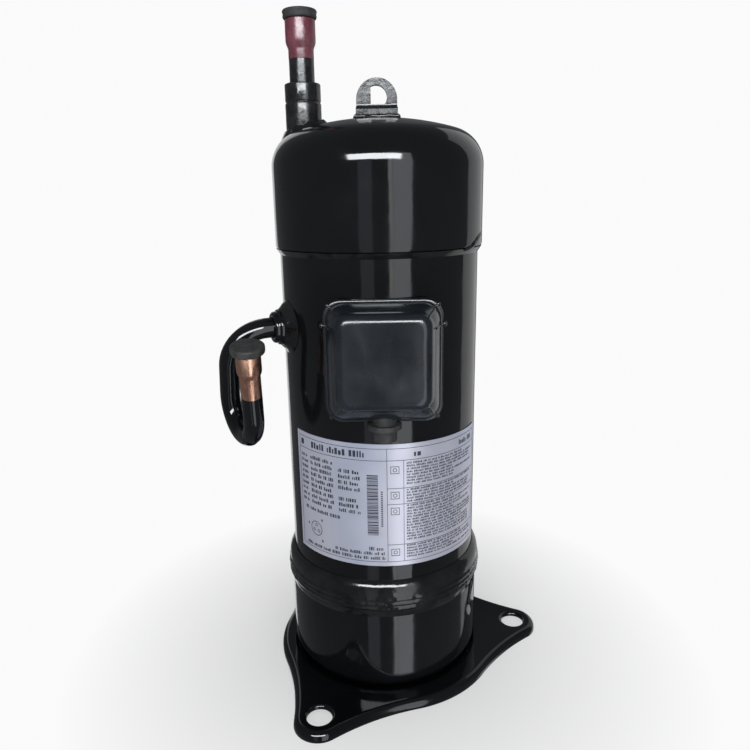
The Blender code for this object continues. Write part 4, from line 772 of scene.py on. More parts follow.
def make_lower_seam():
    """The wide weld bead over the cup's mouth, with three wavering ridges and one run of paint."""
    low = foot_of("lower_seam_weld")
    high = top_of("lower_seam_weld")
    tip = reach_of("lower_seam_weld")
    mouth = top_of("bottom_cap") + 0.0003
    profile = [(CAP_RADIUS, low + (high - low) * step / 60) for step in range(61)]
    profile += [(BARREL_RADIUS + 0.0002, high), (BARREL_RADIUS + 0.0002, mouth), (CAP_RADIUS, mouth)]

    ridges = ((0.0084, 0.0011), (0.0124, 0.0013), (0.0164, 0.0011))  # how far up, how proud
    ridge_width = 0.0016

    def bead(angle, radius, height):
        if radius < CAP_RADIUS - 1e-6 or height == mouth:
            return radius, height
        base = seam_base(height, low, high, tip - 0.0013)
        spot = Vector((math.cos(angle) * 3, math.sin(angle) * 3, 0))
        beat = Vector((math.cos(angle) * 26, math.sin(angle) * 26, 0))
        for place, amount in ridges:
            level = low + place + 0.0007 * noise.noise(spot + Vector((0, 0, place * 900)))
            nearness = (height - level) / ridge_width
            swell = amount * (0.8 + 0.5 * noise.noise(beat + Vector((0, 0, place * 700))))
            base += swell * math.exp(-nearness * nearness)
        return min(base, tip), height

    shape = turned_shape(profile, 300, bead)
    add("lower_seam_skin", shape, "weld", "lower_seam_weld")
    route, radii = [], []
    for share in shares(12):
        azimuth = 65.5 - 2.2 * share + 1.2 * math.sin(share * 5)
        route.append(on_round(azimuth, CAP_RADIUS + 0.0002, low + 0.0065 - 0.022 * share))
        radii.append(0.0026 - 0.0017 * share + 0.0008 * max(share - 0.75, 0.0) * 4)
    add("seam_run", rod_shape(route, radii, 14), "weld")


def make_upper_seam():
    """A thin fillet under the cap's rim, and the lump where its weld was closed."""
    rim = CAP_RIM - 0.0002
    inside = BARREL_RADIUS + 0.0002
    profile = [(inside, rim - 0.0042), (inside + 0.0012, rim - 0.0024), (CAP_RADIUS - 0.0006, rim)]

    def fillet(angle, radius, height):
        place = Vector((math.cos(angle) * 9, math.sin(angle) * 9, height * 60))
        ripple = 0.5 + 0.5 * math.sin(angle * 120 + 2 * noise.noise(place))
        share = min(max((rim - height) / 0.004, 0.0), 1.0)
        if radius <= inside + 1e-6:
            return radius, height
        return radius + 0.00025 * ripple * (1 - share), height

    shape = turned_shape(profile + [(inside, rim)], 240, fillet)
    add("upper_seam_skin", shape, "weld", "upper_seam_weld")

    route, radii = [], []
    for share in shares(16):
        climb = 0.0110 * (0.5 - 0.5 * math.cos(math.pi * share)) - 0.001
        route.append(on_round(50 + 26 * share, CAP_RADIUS - 0.0006, CAP_RIM + climb))
        radii.append(0.0007 + 0.0012 * math.sin(math.pi * share) ** 0.7)
    shape = roughened(rod_shape(route, radii, 14), 0.0002, 300, 3.1)
    add("seam_lump", shape, "weld")


# lifting lug


def make_lug():
    """The arched upright with its D-shaped eye and bent foot, and the weld round the foot."""
    half = LUG_WIDTH / 2
    top = arc((0.0, LUG_TOP - half), half, 0, 180, 40)
    outline = [(-half, LUG_FOOT_TOP - 0.004), (half, LUG_FOOT_TOP - 0.004)] + top
    flat = math.degrees(math.acos(-LUG_FLAT / LUG_EYE))
    eye = arc((LUG_EYE_X, LUG_EYE_Z), LUG_EYE, -flat, flat, 40)
    upright = Matrix.Translation((LUG_X, 0, 0)) @ Matrix.Rotation(math.pi / 2, 4, "X")
    shape = slab_shape(outline, 0.0, LUG_THICKNESS, [eye])
    lug = add("lug_skin", shape, "satin", "lifting_lug", matrix=upright)

    floor = APEX - 0.0004
    corner = LUG_FOOT_TOP + LUG_BEND
    bend = arc((-LUG_THICKNESS - LUG_BEND, corner), LUG_BEND, -90, 0, 12)
    side = [(LUG_FOOT_FRONT, floor), (0.0, floor), (0.0, corner)]
    side += bend[::-1] + [(LUG_FOOT_FRONT + 0.0012, LUG_FOOT_TOP), (LUG_FOOT_FRONT, LUG_FOOT_TOP - 0.0012)]
    across = Matrix.Translation((LUG_X, 0, 0)) @ Matrix.Rotation(math.pi / 2, 4, "Z")
    across = across @ Matrix.Rotation(math.pi / 2, 4, "X")
    foot = helper("lug_foot", slab_shape(side, -half, half), across)
    apply_boolean(lug, foot, "UNION")
    add_bevel(lug, 0.0007, 3)

    def weld_bead(name, route, radius, seed):
        shape = rod_shape(route, [radius] * len(route), 12)
        add(name, roughened(shape, 0.0005, 260, seed), "weld")

    for sign, name in ((-1, "left"), (1, "right")):
        x = LUG_X + sign * (half + 0.0004)
        places = [LUG_FOOT_FRONT + (0.001 - LUG_FOOT_FRONT) * step / 11 for step in range(12)]
        route = [Vector((x, y, dome_height(math.hypot(x, y)) + 0.0006)) for y in places]
        weld_bead(f"lug_weld_{name}", route, 0.0017, 5.0 + sign)
    places = [LUG_X + (half + 0.001) * (2 * step / 15 - 1) for step in range(16)]
    level = dome_height(0.024) + 0.0008
    route = [Vector((x, LUG_FOOT_FRONT - 0.0004, level)) for x in places]
    weld_bead("lug_weld_front", route, 0.0016, 8.0)


# label


def label_point(u, v, lift=0.0):
    """A place on the label: u from its left edge, v from its bottom, both 0 to 1."""
    start, end = LABEL_AZIMUTHS
    azimuth = start + (end - start) * u
    height = LABEL_LOW + LABEL_HEIGHT * v + LABEL_SLOPE * math.radians(azimuth)
    return on_round(azimuth, LABEL_RADIUS + LABEL_THICKNESS + lift, height)


def make_label():
    """The foil plate, bent to the barrel."""
    shape = bmesh.new()
    columns, rows = 64, 12
    front, back = [], []
    for v in shares(rows):
        for grid, lift in ((front, 0.0), (back, -0.0004)):
            grid.append([shape.verts.new(label_point(u, v, lift)) for u in shares(columns)])
    for grid in (front, back):
        for row in range(rows):
            for column in range(columns):
                square = [grid[row][column], grid[row][column + 1]]
                square += [grid[row + 1][column + 1], grid[row + 1][column]]
                shape.faces.new(square)
    rim = [(0, c) for c in range(columns)] + [(r, columns) for r in range(rows)]
    rim += [(rows, c) for c in range(columns, 0, -1)] + [(r, 0) for r in range(rows, 0, -1)]
    for (row, column), (next_row, next_column) in zip(rim, rim[1:] + rim[:1]):
        edge = [front[row][column], front[next_row][next_column]]
        edge += [back[next_row][next_column], back[row][column]]
        shape.faces.new(edge)
    add("label_plate", shape, "label_foil", "name_label")


def print_patch(shape, u0, v0, u1, v1):
    """A printed rectangle, as a thin raised film that follows the label's curve."""
    columns = max(1, math.ceil((u1 - u0) * 60))
    low, high = [], []
    for v, row in ((v0, low), (v1, high)):
        for column in range(columns + 1):
            u = u0 + (u1 - u0) * column / columns
            row.append([shape.verts.new(label_point(u, v, lift)) for lift in PRINT_LIFTS])
    for column in range(columns):
        for side in (1, 0):
            corners = [low[column][side], low[column + 1][side]]
            shape.faces.new(corners + [high[column + 1][side], high[column][side]])
        for row in (low, high):
            shape.faces.new((row[column][0], row[column + 1][0], row[column + 1][1], row[column][1]))
    for column in (0, columns):
        shape.faces.new((low[column][0], high[column][0], high[column][1], low[column][1]))


def print_ring(shape, u, v, radius, thickness, start=0, end=360):
    """A printed circle or part of one, round a place on the label. Sizes are heights."""
    aspect = LABEL_HEIGHT / (math.radians(LABEL_AZIMUTHS[1] - LABEL_AZIMUTHS[0]) * LABEL_RADIUS)
    inner = arc((0, 0), radius - thickness, start, end, 28)
    outer = arc((0, 0), radius, start, end, 28)
    for index in range(28):
        corners = []
        for x, y in (inner[index], outer[index], outer[index + 1], inner[index + 1]):
            corners.append(shape.verts.new(label_point(u + x * aspect, v + y, PRINT_LIFTS[1])))
        shape.faces.new(corners)


def print_line(shape, draw, u0, u1, v, height, glyph=0.0052):
    """A row of small blocks in word-like groups: it reads as print and spells nothing."""
    u = u0
    while u < u1 - glyph:
        letters = draw.randint(2, 7)
        for _ in range(letters):
            width = glyph * draw.choice((0.55, 0.8, 1.0))
            if u + width > u1:
                return
            tall = height * draw.choice((0.72, 1.0, 1.0))
            print_patch(shape, u, v, u + width, v + tall)
            u += width + glyph * 0.42
        u += glyph * 1.1


def make_label_print():
    """Generic print: a border, a title bar, columns, blocks for text, and a bar pattern."""
    draw = random.Random(11)
    shape = bmesh.new()
    line_u, line_v = 0.0022, 0.0042
    left, right, low, high = 0.018, 0.982, 0.034, 0.962
    title = 0.868
    divider, column = 0.466, 0.538
    for v in (low, high, title):
        print_patch(shape, left, v, right, v + line_v)
    for u in (left, divider, right - line_u):
        print_patch(shape, u, low, u + line_u, high)
    print_patch(shape, column, low, column + line_u, title)
    for v in (0.645, 0.515, 0.178):
        print_patch(shape, divider, v, right, v + line_v)

    print_patch(shape, 0.032, 0.895, 0.052, 0.940)
    titles = ((0.105, 0.395, 0.893, 0.050, 0.0125), (0.585, 0.655, 0.895, 0.046, 0.016))
    for line in (*titles, (0.835, 0.960, 0.897, 0.040, 0.0095)):
        print_line(shape, draw, *line)

    for row in range(9):
        v = 0.800 - row * 0.0465
        print_line(shape, draw, 0.032, 0.078, v, 0.025, 0.0058)
        print_line(shape, draw, 0.096, 0.225, v, 0.029, 0.0080)
        if row not in (0, 5):
            print_line(shape, draw, 0.250, 0.350, v, 0.029, 0.0080)
    print_line(shape, draw, 0.052, 0.265, 0.362, 0.028, 0.0080)
    print_ring(shape, 0.118, 0.215, 0.062, 0.006)
    for turn in (90, 210, 330):
        x, y = arc((0, 0), 0.030, turn, turn, 1)[0]
        print_ring(shape, 0.118 + x * 0.55, 0.215 + y, 0.013, 0.005)
    for u, v in ((0.150, 0.292), (0.062, 0.225), (0.150, 0.112)):
        print_patch(shape, u, v, u + 0.008, v + 0.020)
    footers = ((0.385, 0.452, 0.132, 0.030, 0.0075), (0.225, 0.455, 0.094, 0.026, 0.0070))
    for line in (*footers, (0.050, 0.455, 0.054, 0.026, 0.0070)):
        print_line(shape, draw, *line)

    v = 0.262
    while v < 0.748:
        thick = draw.choice((0.0035, 0.0035, 0.006, 0.010))
        print_patch(shape, 0.380, v, 0.428, v + thick)
        v += thick + draw.choice((0.0035, 0.0035, 0.0055))
    for row in range(17):
        v = 0.335 + row * 0.0175
        print_patch(shape, 0.440, v, 0.448, v + 0.010)

    for low_v, high_v in ((0.665, 0.840), (0.530, 0.625), (0.195, 0.495), (0.045, 0.160)):
        v = high_v
        while v > low_v:
            end = draw.choice((0.80, 0.86, 0.93, 0.955))
            print_line(shape, draw, 0.552, end, v, 0.0150, 0.0052)
            v -= 0.0235
    for v in (0.765, 0.560, 0.430, 0.085):
        for low_v, high_v in ((v, v + 0.005), (v + 0.055, v + 0.060)):
            print_patch(shape, 0.482, low_v, 0.520, high_v)
        for low_u, high_u in ((0.482, 0.4845), (0.5175, 0.520)):
            print_patch(shape, low_u, v, high_u, v + 0.060)
        print_ring(shape, 0.501, v + 0.030, 0.016, 0.005)
    add("label_print", shape, "ink", angle=60)


# suction port


def make_suction():
    """Flared weld, stepped socket, a black pipe, its maroon bell, and the shipping plug."""
    at = Matrix.Translation((SUCTION_X, 0, 0))
    outer = SOCKET_RADIUS
    bore = SUCTION_RADIUS + 0.0002
    low = APEX - 0.016
    step = SOCKET_TOP - 0.0140
    upper = outer - 0.0001
    groove = outer - 0.0006
    profile = [(bore, low), (outer, low), (outer, step - 0.0008), (groove, step)]
    profile += [(groove, step + 0.0005), (upper, step + 0.0013), (upper, SOCKET_TOP - 0.0007)]
    profile += [(upper - 0.0008, SOCKET_TOP), (bore, SOCKET_TOP)]
    add_turned("socket_skin", profile, "satin", "suction_socket", soft=0.0004, matrix=at)

    inside = outer + 0.0002
    ring_width = 0.0050
    under = foot_of("suction_weld") + 0.0004
    flare = [(inside, under), (inside + ring_width, under)]
    flare += [(inside + ring_width * (1 - share), APEX) for share in shares(18)]
    shape = turned_shape(flare, 96)
    for vert in shape.verts:
        reach = math.hypot(vert.co.x, vert.co.y)
        ground = dome_height(math.hypot(vert.co.x + SUCTION_X, vert.co.y))
        share = min(max((reach - inside) / ring_width, 0.0), 1.0)
        if vert.co.z > APEX - 0.001:
            swell = 0.8 + 0.4 * noise.noise(vert.co * 240)
            vert.co.z = ground - 0.0004 + 0.0048 * swell * (1 - share**2.2)
        else:
            vert.co.z = min(vert.co.z, ground - 0.0025)
    add("suction_weld_skin", shape, "weld", "suction_weld", matrix=at)

    inner = SUCTION_RADIUS - SUCTION_WALL
    start = foot_of("suction_pipe")
    edge = SUCTION_PAINT_EDGE
    profile = [(inner, start), (SUCTION_RADIUS, start), (SUCTION_RADIUS, edge), (inner, edge)]
    add("suction_pipe_black", turned_shape(profile), "satin", matrix=at)

    bell = SUCTION_BELL
    bell_in = bell - SUCTION_WALL
    flare_low = SUCTION_BELL_LOW
    profile = [(inner, edge + 0.0001), (SUCTION_RADIUS + 0.0001, edge + 0.0001)]
    profile += [(SUCTION_RADIUS + 0.0001, flare_low), (bell - 0.0002, flare_low + 0.0038)]
    profile += [(bell, flare_low + 0.0060), (bell, SUCTION_END), (bell_in, SUCTION_END)]
    profile += [(bell_in, flare_low + 0.0045), (inner, flare_low)]
    name = "suction_pipe_maroon"
    add_turned(name, profile, "maroon_paint", "suction_pipe", soft=0.0009, steps=4, matrix=at)

    rim = 0.01315
    end = SUCTION_END + 0.0003
    top = top_of("suction_plug")
    spigot = bell_in - 0.0004
    profile = [(0.0, end - 0.014), (spigot - 0.001, end - 0.014), (spigot, end - 0.012), (spigot, end)]
    profile += [(rim - 0.0009, end), (rim - 0.0002, end + 0.0014), (rim - 0.0006, end + 0.0032)]
    profile += [(rim, end + 0.0050), (rim - 0.0004, top - 0.0005), (rim - 0.0018, top)]
    profile += [(0.0045, top), (0.0035, top - 0.0012), (0.0, top - 0.0012)]
    body = "suction_plug_body"
    add_turned("suction_plug_skin", profile, "rubber", "suction_plug", soft=0.0007, body=body, matrix=at)


# discharge port


def pipe_shape(route, outer_radii, wall):
    shape = bmesh.new()
    outside = swept_loops(shape, route, outer_radii)
    within = swept_loops(shape, route, [radius - wall for radius in outer_radii])
    skin(shape, outside + within[::-1])
    return shape


def make_discharge():
    """Weld flange, stepped boss, the looped pipe painted to near its bare bell, and the plug."""
    out = azimuth_direction(DISCHARGE_AZIMUTH)
    level = Vector((0, 0, DISCHARGE_Z))
    stand = frame_at(level, out)
    bore = DISCHARGE_RADIUS + 0.0002
    outer = 0.0140
    end = BARREL_RADIUS + 0.0125
    profile = [(bore, BARREL_BORE + 0.001), (outer, BARREL_BORE + 0.001), (outer, end - 0.0045)]
    profile += [(outer - 0.0016, end - 0.0038), (outer - 0.0016, end - 0.0012)]
    profile += [(outer - 0.0030, end), (bore + 0.0010, end), (bore, end - 0.0008)]
    add_turned("boss_skin", profile, "black_enamel", "discharge_socket", soft=0.0007, matrix=stand)

    around = outer + 0.0002
    weld_rise = 0.0058
    profile = [(around, BARREL_RADIUS - 0.003)]
    for share in shares(14):
        profile.append((around + 0.0074 * (1 - share), BARREL_RADIUS + weld_rise * share))
    shape = turned_shape(profile, 72)
    for vert in shape.verts:
        if vert.co.z < BARREL_RADIUS - 0.0025:
            continue
        share = (vert.co.z - BARREL_RADIUS) / weld_rise
        sideways = (stand @ vert.co) - level
        sideways.z = 0
        across = sideways - out * sideways.dot(out)
        ground = math.sqrt(BARREL_RADIUS**2 - across.length**2)
        vert.co.z = ground + 0.0002 + (BARREL_RADIUS + weld_rise - ground) * share**1.35
    roughened(shape, 0.00035, 220, 21.0)
    add("boss_weld_skin", shape, "weld", "discharge_weld", matrix=stand)

    base = out * BARREL_RADIUS + level
    elbow, far, near, tip = (base + corner for corner in DISCHARGE_CORNERS)
    along = (tip - near).normalized()
    split = tip - along * DISCHARGE_BARE_LENGTH
    route = rounded_route([base - out * 0.006, elbow, far, near, split], DISCHARGE_BENDS)
    shape = pipe_shape(route, [DISCHARGE_RADIUS] * len(route), DISCHARGE_WALL)
    add("discharge_pipe_black", shape, "black_enamel")

    bell_low = tip - along * DISCHARGE_BELL_LENGTH
    neck = DISCHARGE_RADIUS - 0.00005
    stations = (  # a point, how far past it, and the radius there
        (split, 0.0001, neck),
        (bell_low, -0.0045, neck),
        (bell_low, -0.0032, DISCHARGE_RADIUS + 0.0001),
        (bell_low, -0.0010, DISCHARGE_BELL - 0.0003),
        (bell_low, 0.0006, DISCHARGE_BELL),
        (tip, -0.0006, DISCHARGE_BELL),
        (tip, 0.0, DISCHARGE_BELL - 0.0004),
    )
    places = [start + along * past for start, past, _ in stations]
    shape = pipe_shape(places, [radius for *_, radius in stations], DISCHARGE_WALL)
    add("discharge_pipe_copper", shape, "copper", "discharge_pipe")

    rim = 0.0127
    spigot = DISCHARGE_BELL - DISCHARGE_WALL - 0.0006
    profile = [(0.0, -0.011), (spigot - 0.0008, -0.011), (spigot, -0.0095), (spigot, 0.0003)]
    profile += [(rim - 0.0004, 0.0003), (rim, 0.0012), (rim, 0.0050), (rim - 0.0010, 0.0060)]
    profile += [(0.0, 0.0060)]
    stand = frame_at(tip, along)
    placing = {"body": "discharge_plug_body", "matrix": stand}
    plug = add_turned("discharge_plug_skin", profile, "rubber", "discharge_plug", soft=0.0006, **placing)
    for sign, name in ((-1, "a"), (1, "b")):
        dimple = [(0.0, 0.0040), (0.0011, 0.0040), (0.0014, 0.0070), (0.0, 0.0070)]
        spot = stand @ Matrix.Translation((0.0042 * sign, 0.0010, 0))
        apply_boolean(plug, helper(f"plug_dimple_{name}", turned_shape(dimple, 20), spot), "DIFFERENCE")


# terminals


def pin_places():
    return arc((0.0, TERMINAL_Z), 0.0085, 90, 330, 2)


def make_terminals():
    """The glass-sealed header, its pins and the guard ring, behind the cover."""
    stand = frame_at(Vector((0, 0, TERMINAL_Z)), FRONT)
    face = BARREL_RADIUS + 0.0035
    profile = [(0.0, BARREL_RADIUS - 0.003), (0.017, BARREL_RADIUS - 0.003)]
    profile += [(0.017, BARREL_RADIUS + 0.0006), (0.020, BARREL_RADIUS + 0.0006), (0.020, face)]
    profile += [(0.0165, face), (0.0160, face - 0.0006), (0.0, face - 0.0006)]
    add_turned("header_skin", profile, "machined_steel", "terminal_header", soft=0.0005, matrix=stand)
    for number, (x, z) in enumerate(pin_places(), start=1):
        pin_stand = frame_at(Vector((x, 0, z)), FRONT)
        start = BARREL_RADIUS - 0.016
        end = BARREL_RADIUS + 0.020
        profile = [(0.0, start), (0.0018, start), (0.0018, face - 0.006), (0.0030, face - 0.006)]
        profile += [(0.0030, face + 0.0004), (0.0018, face + 0.0010), (0.0018, end), (0.0, end)]
        name, pin = f"pin_skin_{number}", f"terminal_pin_{number}"
        add_turned(name, profile, "brass", pin, soft=0.0005, sides=24, matrix=pin_stand)

    inner = 0.025
    profile = [(inner, BARREL_RADIUS - 0.0035), (0.027, BARREL_RADIUS - 0.0035)]
    profile += [(0.027, BARREL_RADIUS + 0.015), (inner, BARREL_RADIUS + 0.015)]
    add_turned("guard_skin", profile, "machined_steel", "terminal_guard", soft=0.0007, matrix=stand)


def cover_loop(shape, section, inset=0.0, shift=0.0):
    """One ring of the cover: a rounded rectangle square to Y."""
    reach, narrower, lower, radius, raised = section
    half_x = (COVER_WIDTH - narrower) / 2 - inset
    half_z = (COVER_HEIGHT - lower) / 2 - inset
    corner = max(radius - inset, 0.002)
    y = -BARREL_RADIUS - reach + shift
    points = []
    for across, up, start in ((1, 1, 0), (-1, 1, 90), (-1, -1, 180), (1, -1, 270)):
        centre = (across * (half_x - corner), up * (half_z - corner))
        points += arc(centre, corner, start, start + 90, 9)
    return [shape.verts.new((COVER_X + x, y, TERMINAL_Z + raised + z)) for x, z in points]


def cover_sections():
    """The cover's rings: straight rim, stepped lip, domed sides, rounded edge, flat front."""
    sections = [
        (-0.020, 0.0, 0.0, 0.013, 0.0),
        (0.0018, 0.0004, 0.0004, 0.013, 0.0),
        (0.0030, 0.0010, 0.0010, 0.0132, 0.0),
        (0.0034, 0.0026, 0.0024, 0.0130, 0.0001),
        (0.0034, 0.0046, 0.0042, 0.0128, 0.0002),
        (0.0044, 0.0058, 0.0052, 0.0128, 0.0003),
        (0.0058, 0.0062, 0.0056, 0.0128, 0.0003),
    ]
    foot_reach, foot_narrower, foot_lower, foot_radius, foot_raised = sections[-1]
    reach_high, narrower_high, lower_high = 0.0240, 0.0180, 0.0215
    for share in shares(8)[1:]:
        bend = share**1.5
        reach = foot_reach + (reach_high - foot_reach) * share
        narrower = foot_narrower + (narrower_high - foot_narrower) * bend
        lower = foot_lower + (lower_high - foot_lower) * bend
        radius = foot_radius - 0.0018 * share
        sections.append((reach, narrower, lower, radius, foot_raised + 0.0045 * bend))
    edge = 9
    for index in range(1, edge + 1):
        angle = math.pi / 2 * index / edge
        reach = reach_high + 0.0080 * math.sin(angle)
        inward = 0.0150 * (1 - math.cos(angle))
        radius = 0.0110 - 0.0045 * index / edge
        raised = 0.0048 + 0.0006 * index / edge
        sections.append((reach, narrower_high + inward, lower_high + inward, radius, raised))
    return sections


def barrel_tool(name, radius):
    low = TERMINAL_Z - 0.06
    high = TERMINAL_Z + 0.06
    shape = turned_shape([(0.0, low), (radius, low), (radius, high), (0.0, high)], SHELL_SIDES)
    return helper(name, shape)


def grommet_outline(inset):
    """A D against the barrel, seen from above: round to the front, flat behind."""
    half = GROMMET_WIDTH / 2 - inset
    depth = GROMMET_DEPTH - inset
    back = -BARREL_RADIUS - 0.0008
    return [(COVER_X + half * x, back + depth * y) for x, y in arc((0, 0), 1.0, 180, 360, 24)]


def rib_route(sections, across, up, height=None):
    """Points over the cover's side: along a corner, or at one height on a side."""
    route = []
    for reach, narrower, lower, radius, raised in sections:
        half_x = (COVER_WIDTH - narrower) / 2
        half_z = (COVER_HEIGHT - lower) / 2
        y = -BARREL_RADIUS - reach
        if height is None:
            pull = radius * (1 - math.sqrt(0.5))
            x = across * (half_x - pull)
            z = TERMINAL_Z + raised + up * (half_z - pull)
        else:
            x = across * half_x
            z = height
        route.append(Vector((COVER_X + x, y, z)))
    return route


def add_rib(kind, name, route, outward, length, sunk, thin, swell):
    """A thin rib along a route, and the round nub at its foot that points outward."""
    rib = rod_shape(route, [0.0009] * len(route), 10)
    add(f"{kind}_rib_{name}", rib, "cover_plastic", body="cover")
    foot = route[0] + Vector((0, 0.0010, 0))
    nub_route = [foot + outward * (length * step / 6 - sunk) for step in range(7)]
    nub_radii = [thin + swell * math.sin(math.pi * step / 6) ** 0.6 for step in range(7)]
    add(f"{kind}_nub_{name}", rod_shape(nub_route, nub_radii, 14), "cover_plastic", body="cover")


def make_cover():
    """The moulded cover with its lip, domed sides, ribs and nubs, over its gasket and bush."""
    sections = cover_sections()
    shape = bmesh.new()
    wall = COVER_WALL
    outer = [cover_loop(shape, section) for section in sections]
    inner_sections = (sections[0], sections[6], sections[10], sections[15], sections[-1])
    inner = [cover_loop(shape, inner_sections[0], wall, 0.0)]
    inner += [cover_loop(shape, section, wall, wall / 2) for section in inner_sections[1:-1]]
    inner += [cover_loop(shape, inner_sections[-1], wall, wall)]
    skin(shape, outer[::-1] + inner, closed=False)
    shape.faces.new(outer[-1])
    shape.faces.new(inner[-1])
    cover = add("cover_skin", shape, "cover_plastic", "terminal_cover", body="cover")
    apply_boolean(cover, barrel_tool("cover_clearance", COVER_SEAT), "DIFFERENCE")
    notch = slab_shape(grommet_outline(GROMMET_NECK - 0.0003), 0.222, 0.266)
    apply_boolean(cover, helper("grommet_notch", notch), "DIFFERENCE")

    corner_nub = (0.0035, 0.0015, 0.0006, 0.0013)
    for number, (across, up) in enumerate(((1, 1), (-1, 1), (-1, -1), (1, -1)), start=1):
        route = rib_route(sections[2:-5], across, up)
        outward = Vector((across, 0, up)).normalized()
        add_rib("corner", number, route, outward, *corner_nub)
    side_nub = (0.0040, 0.0012, 0.0007, 0.0017)
    for across, name in ((-1, "left"), (1, "right")):
        route = rib_route(sections[2:13], across, 0, TERMINAL_Z + 0.0275)
        add_rib("side", name, route, Vector((across, 0, 0)), *side_nub)


def make_grommet():
    """The rubber cable bush: a flange below the cover, a neck through its wall and a nozzle."""
    low, high = foot_of("cable_grommet"), top_of("cable_grommet")
    flange_low = low + 0.0092
    outline = grommet_outline(GROMMET_NECK)
    shape = slab_shape(outline, low, high)
    piece = add("grommet_skin", shape, "rubber", "cable_grommet", body="cover")
    flange = helper("grommet_flange", slab_shape(grommet_outline(0.0), flange_low, flange_low + 0.004))
    apply_boolean(piece, flange, "UNION")
    middle = Matrix.Translation((COVER_X, -BARREL_RADIUS - 0.006, 0))
    bore = [(0.0, low - 0.01), (0.0038, low - 0.01), (0.0038, high + 0.01), (0.0, high + 0.01)]
    apply_boolean(piece, helper("cable_bore", turned_shape(bore, 40), middle), "DIFFERENCE")
    add_bevel(piece, 0.0006, 3)


# the rest of the CAD


def finish_cad_nodes():
    """Every CAD node that still shows gets its slot's material."""
    for part in frame["record"]["subparts"]:
        shown = frame["nodes"][part["node"]]
        if shown.hide_render:
            continue
        shown.data.materials.clear()
        shown.data.materials.append(materials[part["material_slot"]])


# stage


def add_light(name, azimuth, distance, width, height, middle, radiance, colour=(1, 1, 1), glossy=True):
    """A soft box that faces the shell's axis. Azimuth 0 is in front."""
    data = bpy.data.lights.new(name, "AREA")
    data.shape = "RECTANGLE"
    data.size = width
    data.size_y = height
    data.energy = radiance * math.pi * width * height
    data.color = colour
    lamp = bpy.data.objects.new(name, data)
    lamp.location = on_round(azimuth, distance, middle)
    lamp.rotation_euler = azimuth_direction(azimuth).to_track_quat("Z", "Y").to_euler()
    lamp.visible_camera = False
    lamp.visible_glossy = glossy
    bpy.context.scene.collection.objects.link(lamp)
    return lamp


def make_lights():
    """Tall soft panels in front, a bright window head over them, and rim panels at the sides."""
    add_light("front_strip", 13, 1.9, 0.13, 3.0, -0.35, 2.2)
    add_light("front_panel", 25, 1.6, 0.55, 2.9, -0.25, 2.0, (0.90, 0.95, 1.0))
    add_light("left_strip", -13, 1.7, 0.42, 2.9, -0.25, 0.35, (0.80, 0.90, 1.0))
    window = add_light("window_head", -3, 1.6, 1.7, 0.44, 0.99, 22.0, (0.93, 0.97, 1.0))
    window.visible_diffuse = False
    add_light("right_window", 132, 1.4, 1.2, 3.2, 0.2, 0.55)
    add_light("left_window", -156, 1.5, 0.45, 3.0, 0.2, 0.8)
    add_light("front_fill", -12, 2.6, 2.4, 1.8, 1.5, 2.5, glossy=False)
    ceiling = add_light("ceiling_panel", -4, 0.78, 1.1, 0.5, 1.80, 2.5, glossy=False)
    aimed_at = Vector((0, 0, 0.42))
    for lamp in (window, ceiling):
        toward = lamp.location - aimed_at
        lamp.rotation_euler = toward.to_track_quat("Z", "Y").to_euler()


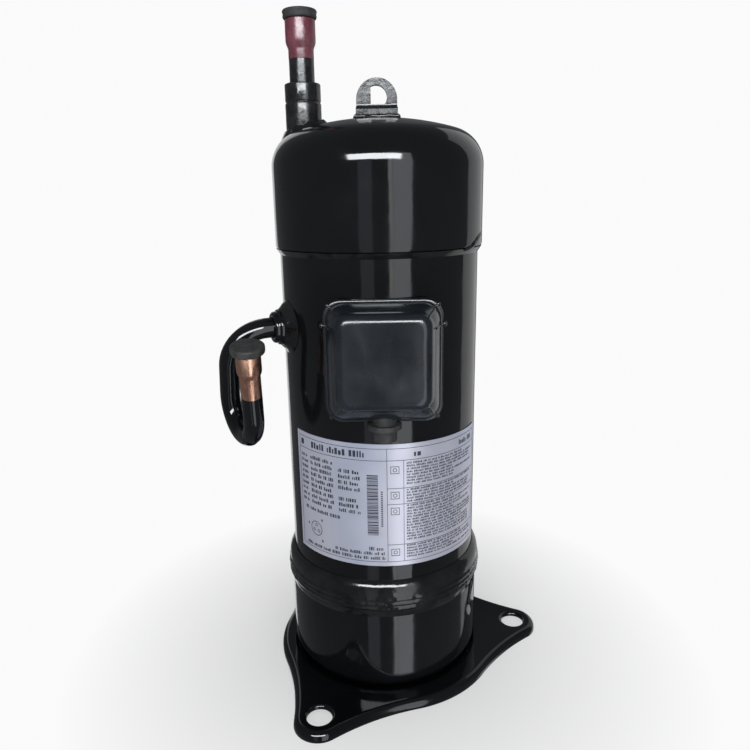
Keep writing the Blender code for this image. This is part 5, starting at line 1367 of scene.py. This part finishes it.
def make_stage():
    """A pale round floor that fades into a pale surround, which reflections leave out."""
    material, shader = new_material("pale_floor", (0.82, 0.82, 0.82), 0.6)
    shader.inputs["Specular IOR Level"].default_value = 0.0
    white = (0.96, 0.96, 0.96, 1.0)
    gradient = node(material, "ShaderNodeTexGradient", gradient_type="SPHERICAL")
    link(material, place_in_object(material, (0.9, 0.9, 0.9)), gradient.inputs["Vector"])
    glow = spread(material, gradient.outputs["Fac"], 1.0, 0.45, 0.74, 0.93)
    surround = node(material, "ShaderNodeEmission")
    surround.inputs["Color"].default_value = white
    mix = node(material, "ShaderNodeMixShader")
    link(material, glow, mix.inputs["Fac"])
    link(material, shader.outputs["BSDF"], mix.inputs[1])
    link(material, surround.outputs["Emission"], mix.inputs[2])
    link(material, mix.outputs["Shader"], material.node_tree.nodes["Material Output"].inputs["Surface"])
    shape = bmesh.new()
    bmesh.ops.create_circle(shape, cap_ends=True, segments=96, radius=6.0)
    floor = to_object("floor", shape)
    floor.data.materials.append(material)

    pale, shader = new_material("pale_surround", white[:3], 0.5)
    light = node(pale, "ShaderNodeEmission")
    light.inputs["Color"].default_value = white
    nodes = pale.node_tree.nodes
    nodes.remove(shader)
    link(pale, light.outputs["Emission"], nodes["Material Output"].inputs["Surface"])
    shape = bmesh.new()
    bmesh.ops.create_uvsphere(shape, u_segments=48, v_segments=24, radius=5.9)
    dome = to_object("surround", shape)
    dome.data.materials.append(pale)
    for stage_piece in (floor, dome):
        stage_piece.visible_glossy = False
    dome.visible_diffuse = False
    dome.visible_shadow = False


def make_world():
    world = bpy.data.worlds.new("soft_room")
    world.use_nodes = True
    background = world.node_tree.nodes["Background"]
    background.inputs["Color"].default_value = (0.92, 0.95, 1.0, 1.0)
    background.inputs["Strength"].default_value = 0.13
    bpy.context.scene.world = world
    bpy.context.scene.view_settings.view_transform = "Standard"


def make_camera():
    """A little above the middle of the machine, looking down at its front."""
    pitch, yaw, roll = 0.2609, -0.0089, -0.0182
    data = bpy.data.cameras.new("camera")
    data.lens = 32.12
    data.sensor_width = 36.0
    data.clip_start = 0.01
    camera = bpy.data.objects.new("camera", data)
    camera.location = (0.0, -0.5555, 0.4056)
    forward = Vector(
        (math.sin(yaw) * math.cos(pitch), math.cos(yaw) * math.cos(pitch), -math.sin(pitch))
    )
    right = Vector((math.cos(yaw), -math.sin(yaw), 0.0))
    up = right.cross(forward)
    turned_right = right * math.cos(roll) + up * math.sin(roll)
    turned_up = up * math.cos(roll) - right * math.sin(roll)
    axes = Matrix((turned_right, turned_up, -forward)).transposed()
    camera.rotation_euler = axes.to_euler()
    bpy.context.scene.collection.objects.link(camera)
    bpy.context.scene.camera = camera


# assembly

make_camera()
make_world()
make_lights()
make_stage()
make_base_plate()
make_caps()
make_barrel()
make_lower_seam()
make_upper_seam()
make_lug()
make_label()
make_label_print()
make_suction()
make_discharge()
make_terminals()
make_cover()
make_grommet()
finish_cad_nodes()
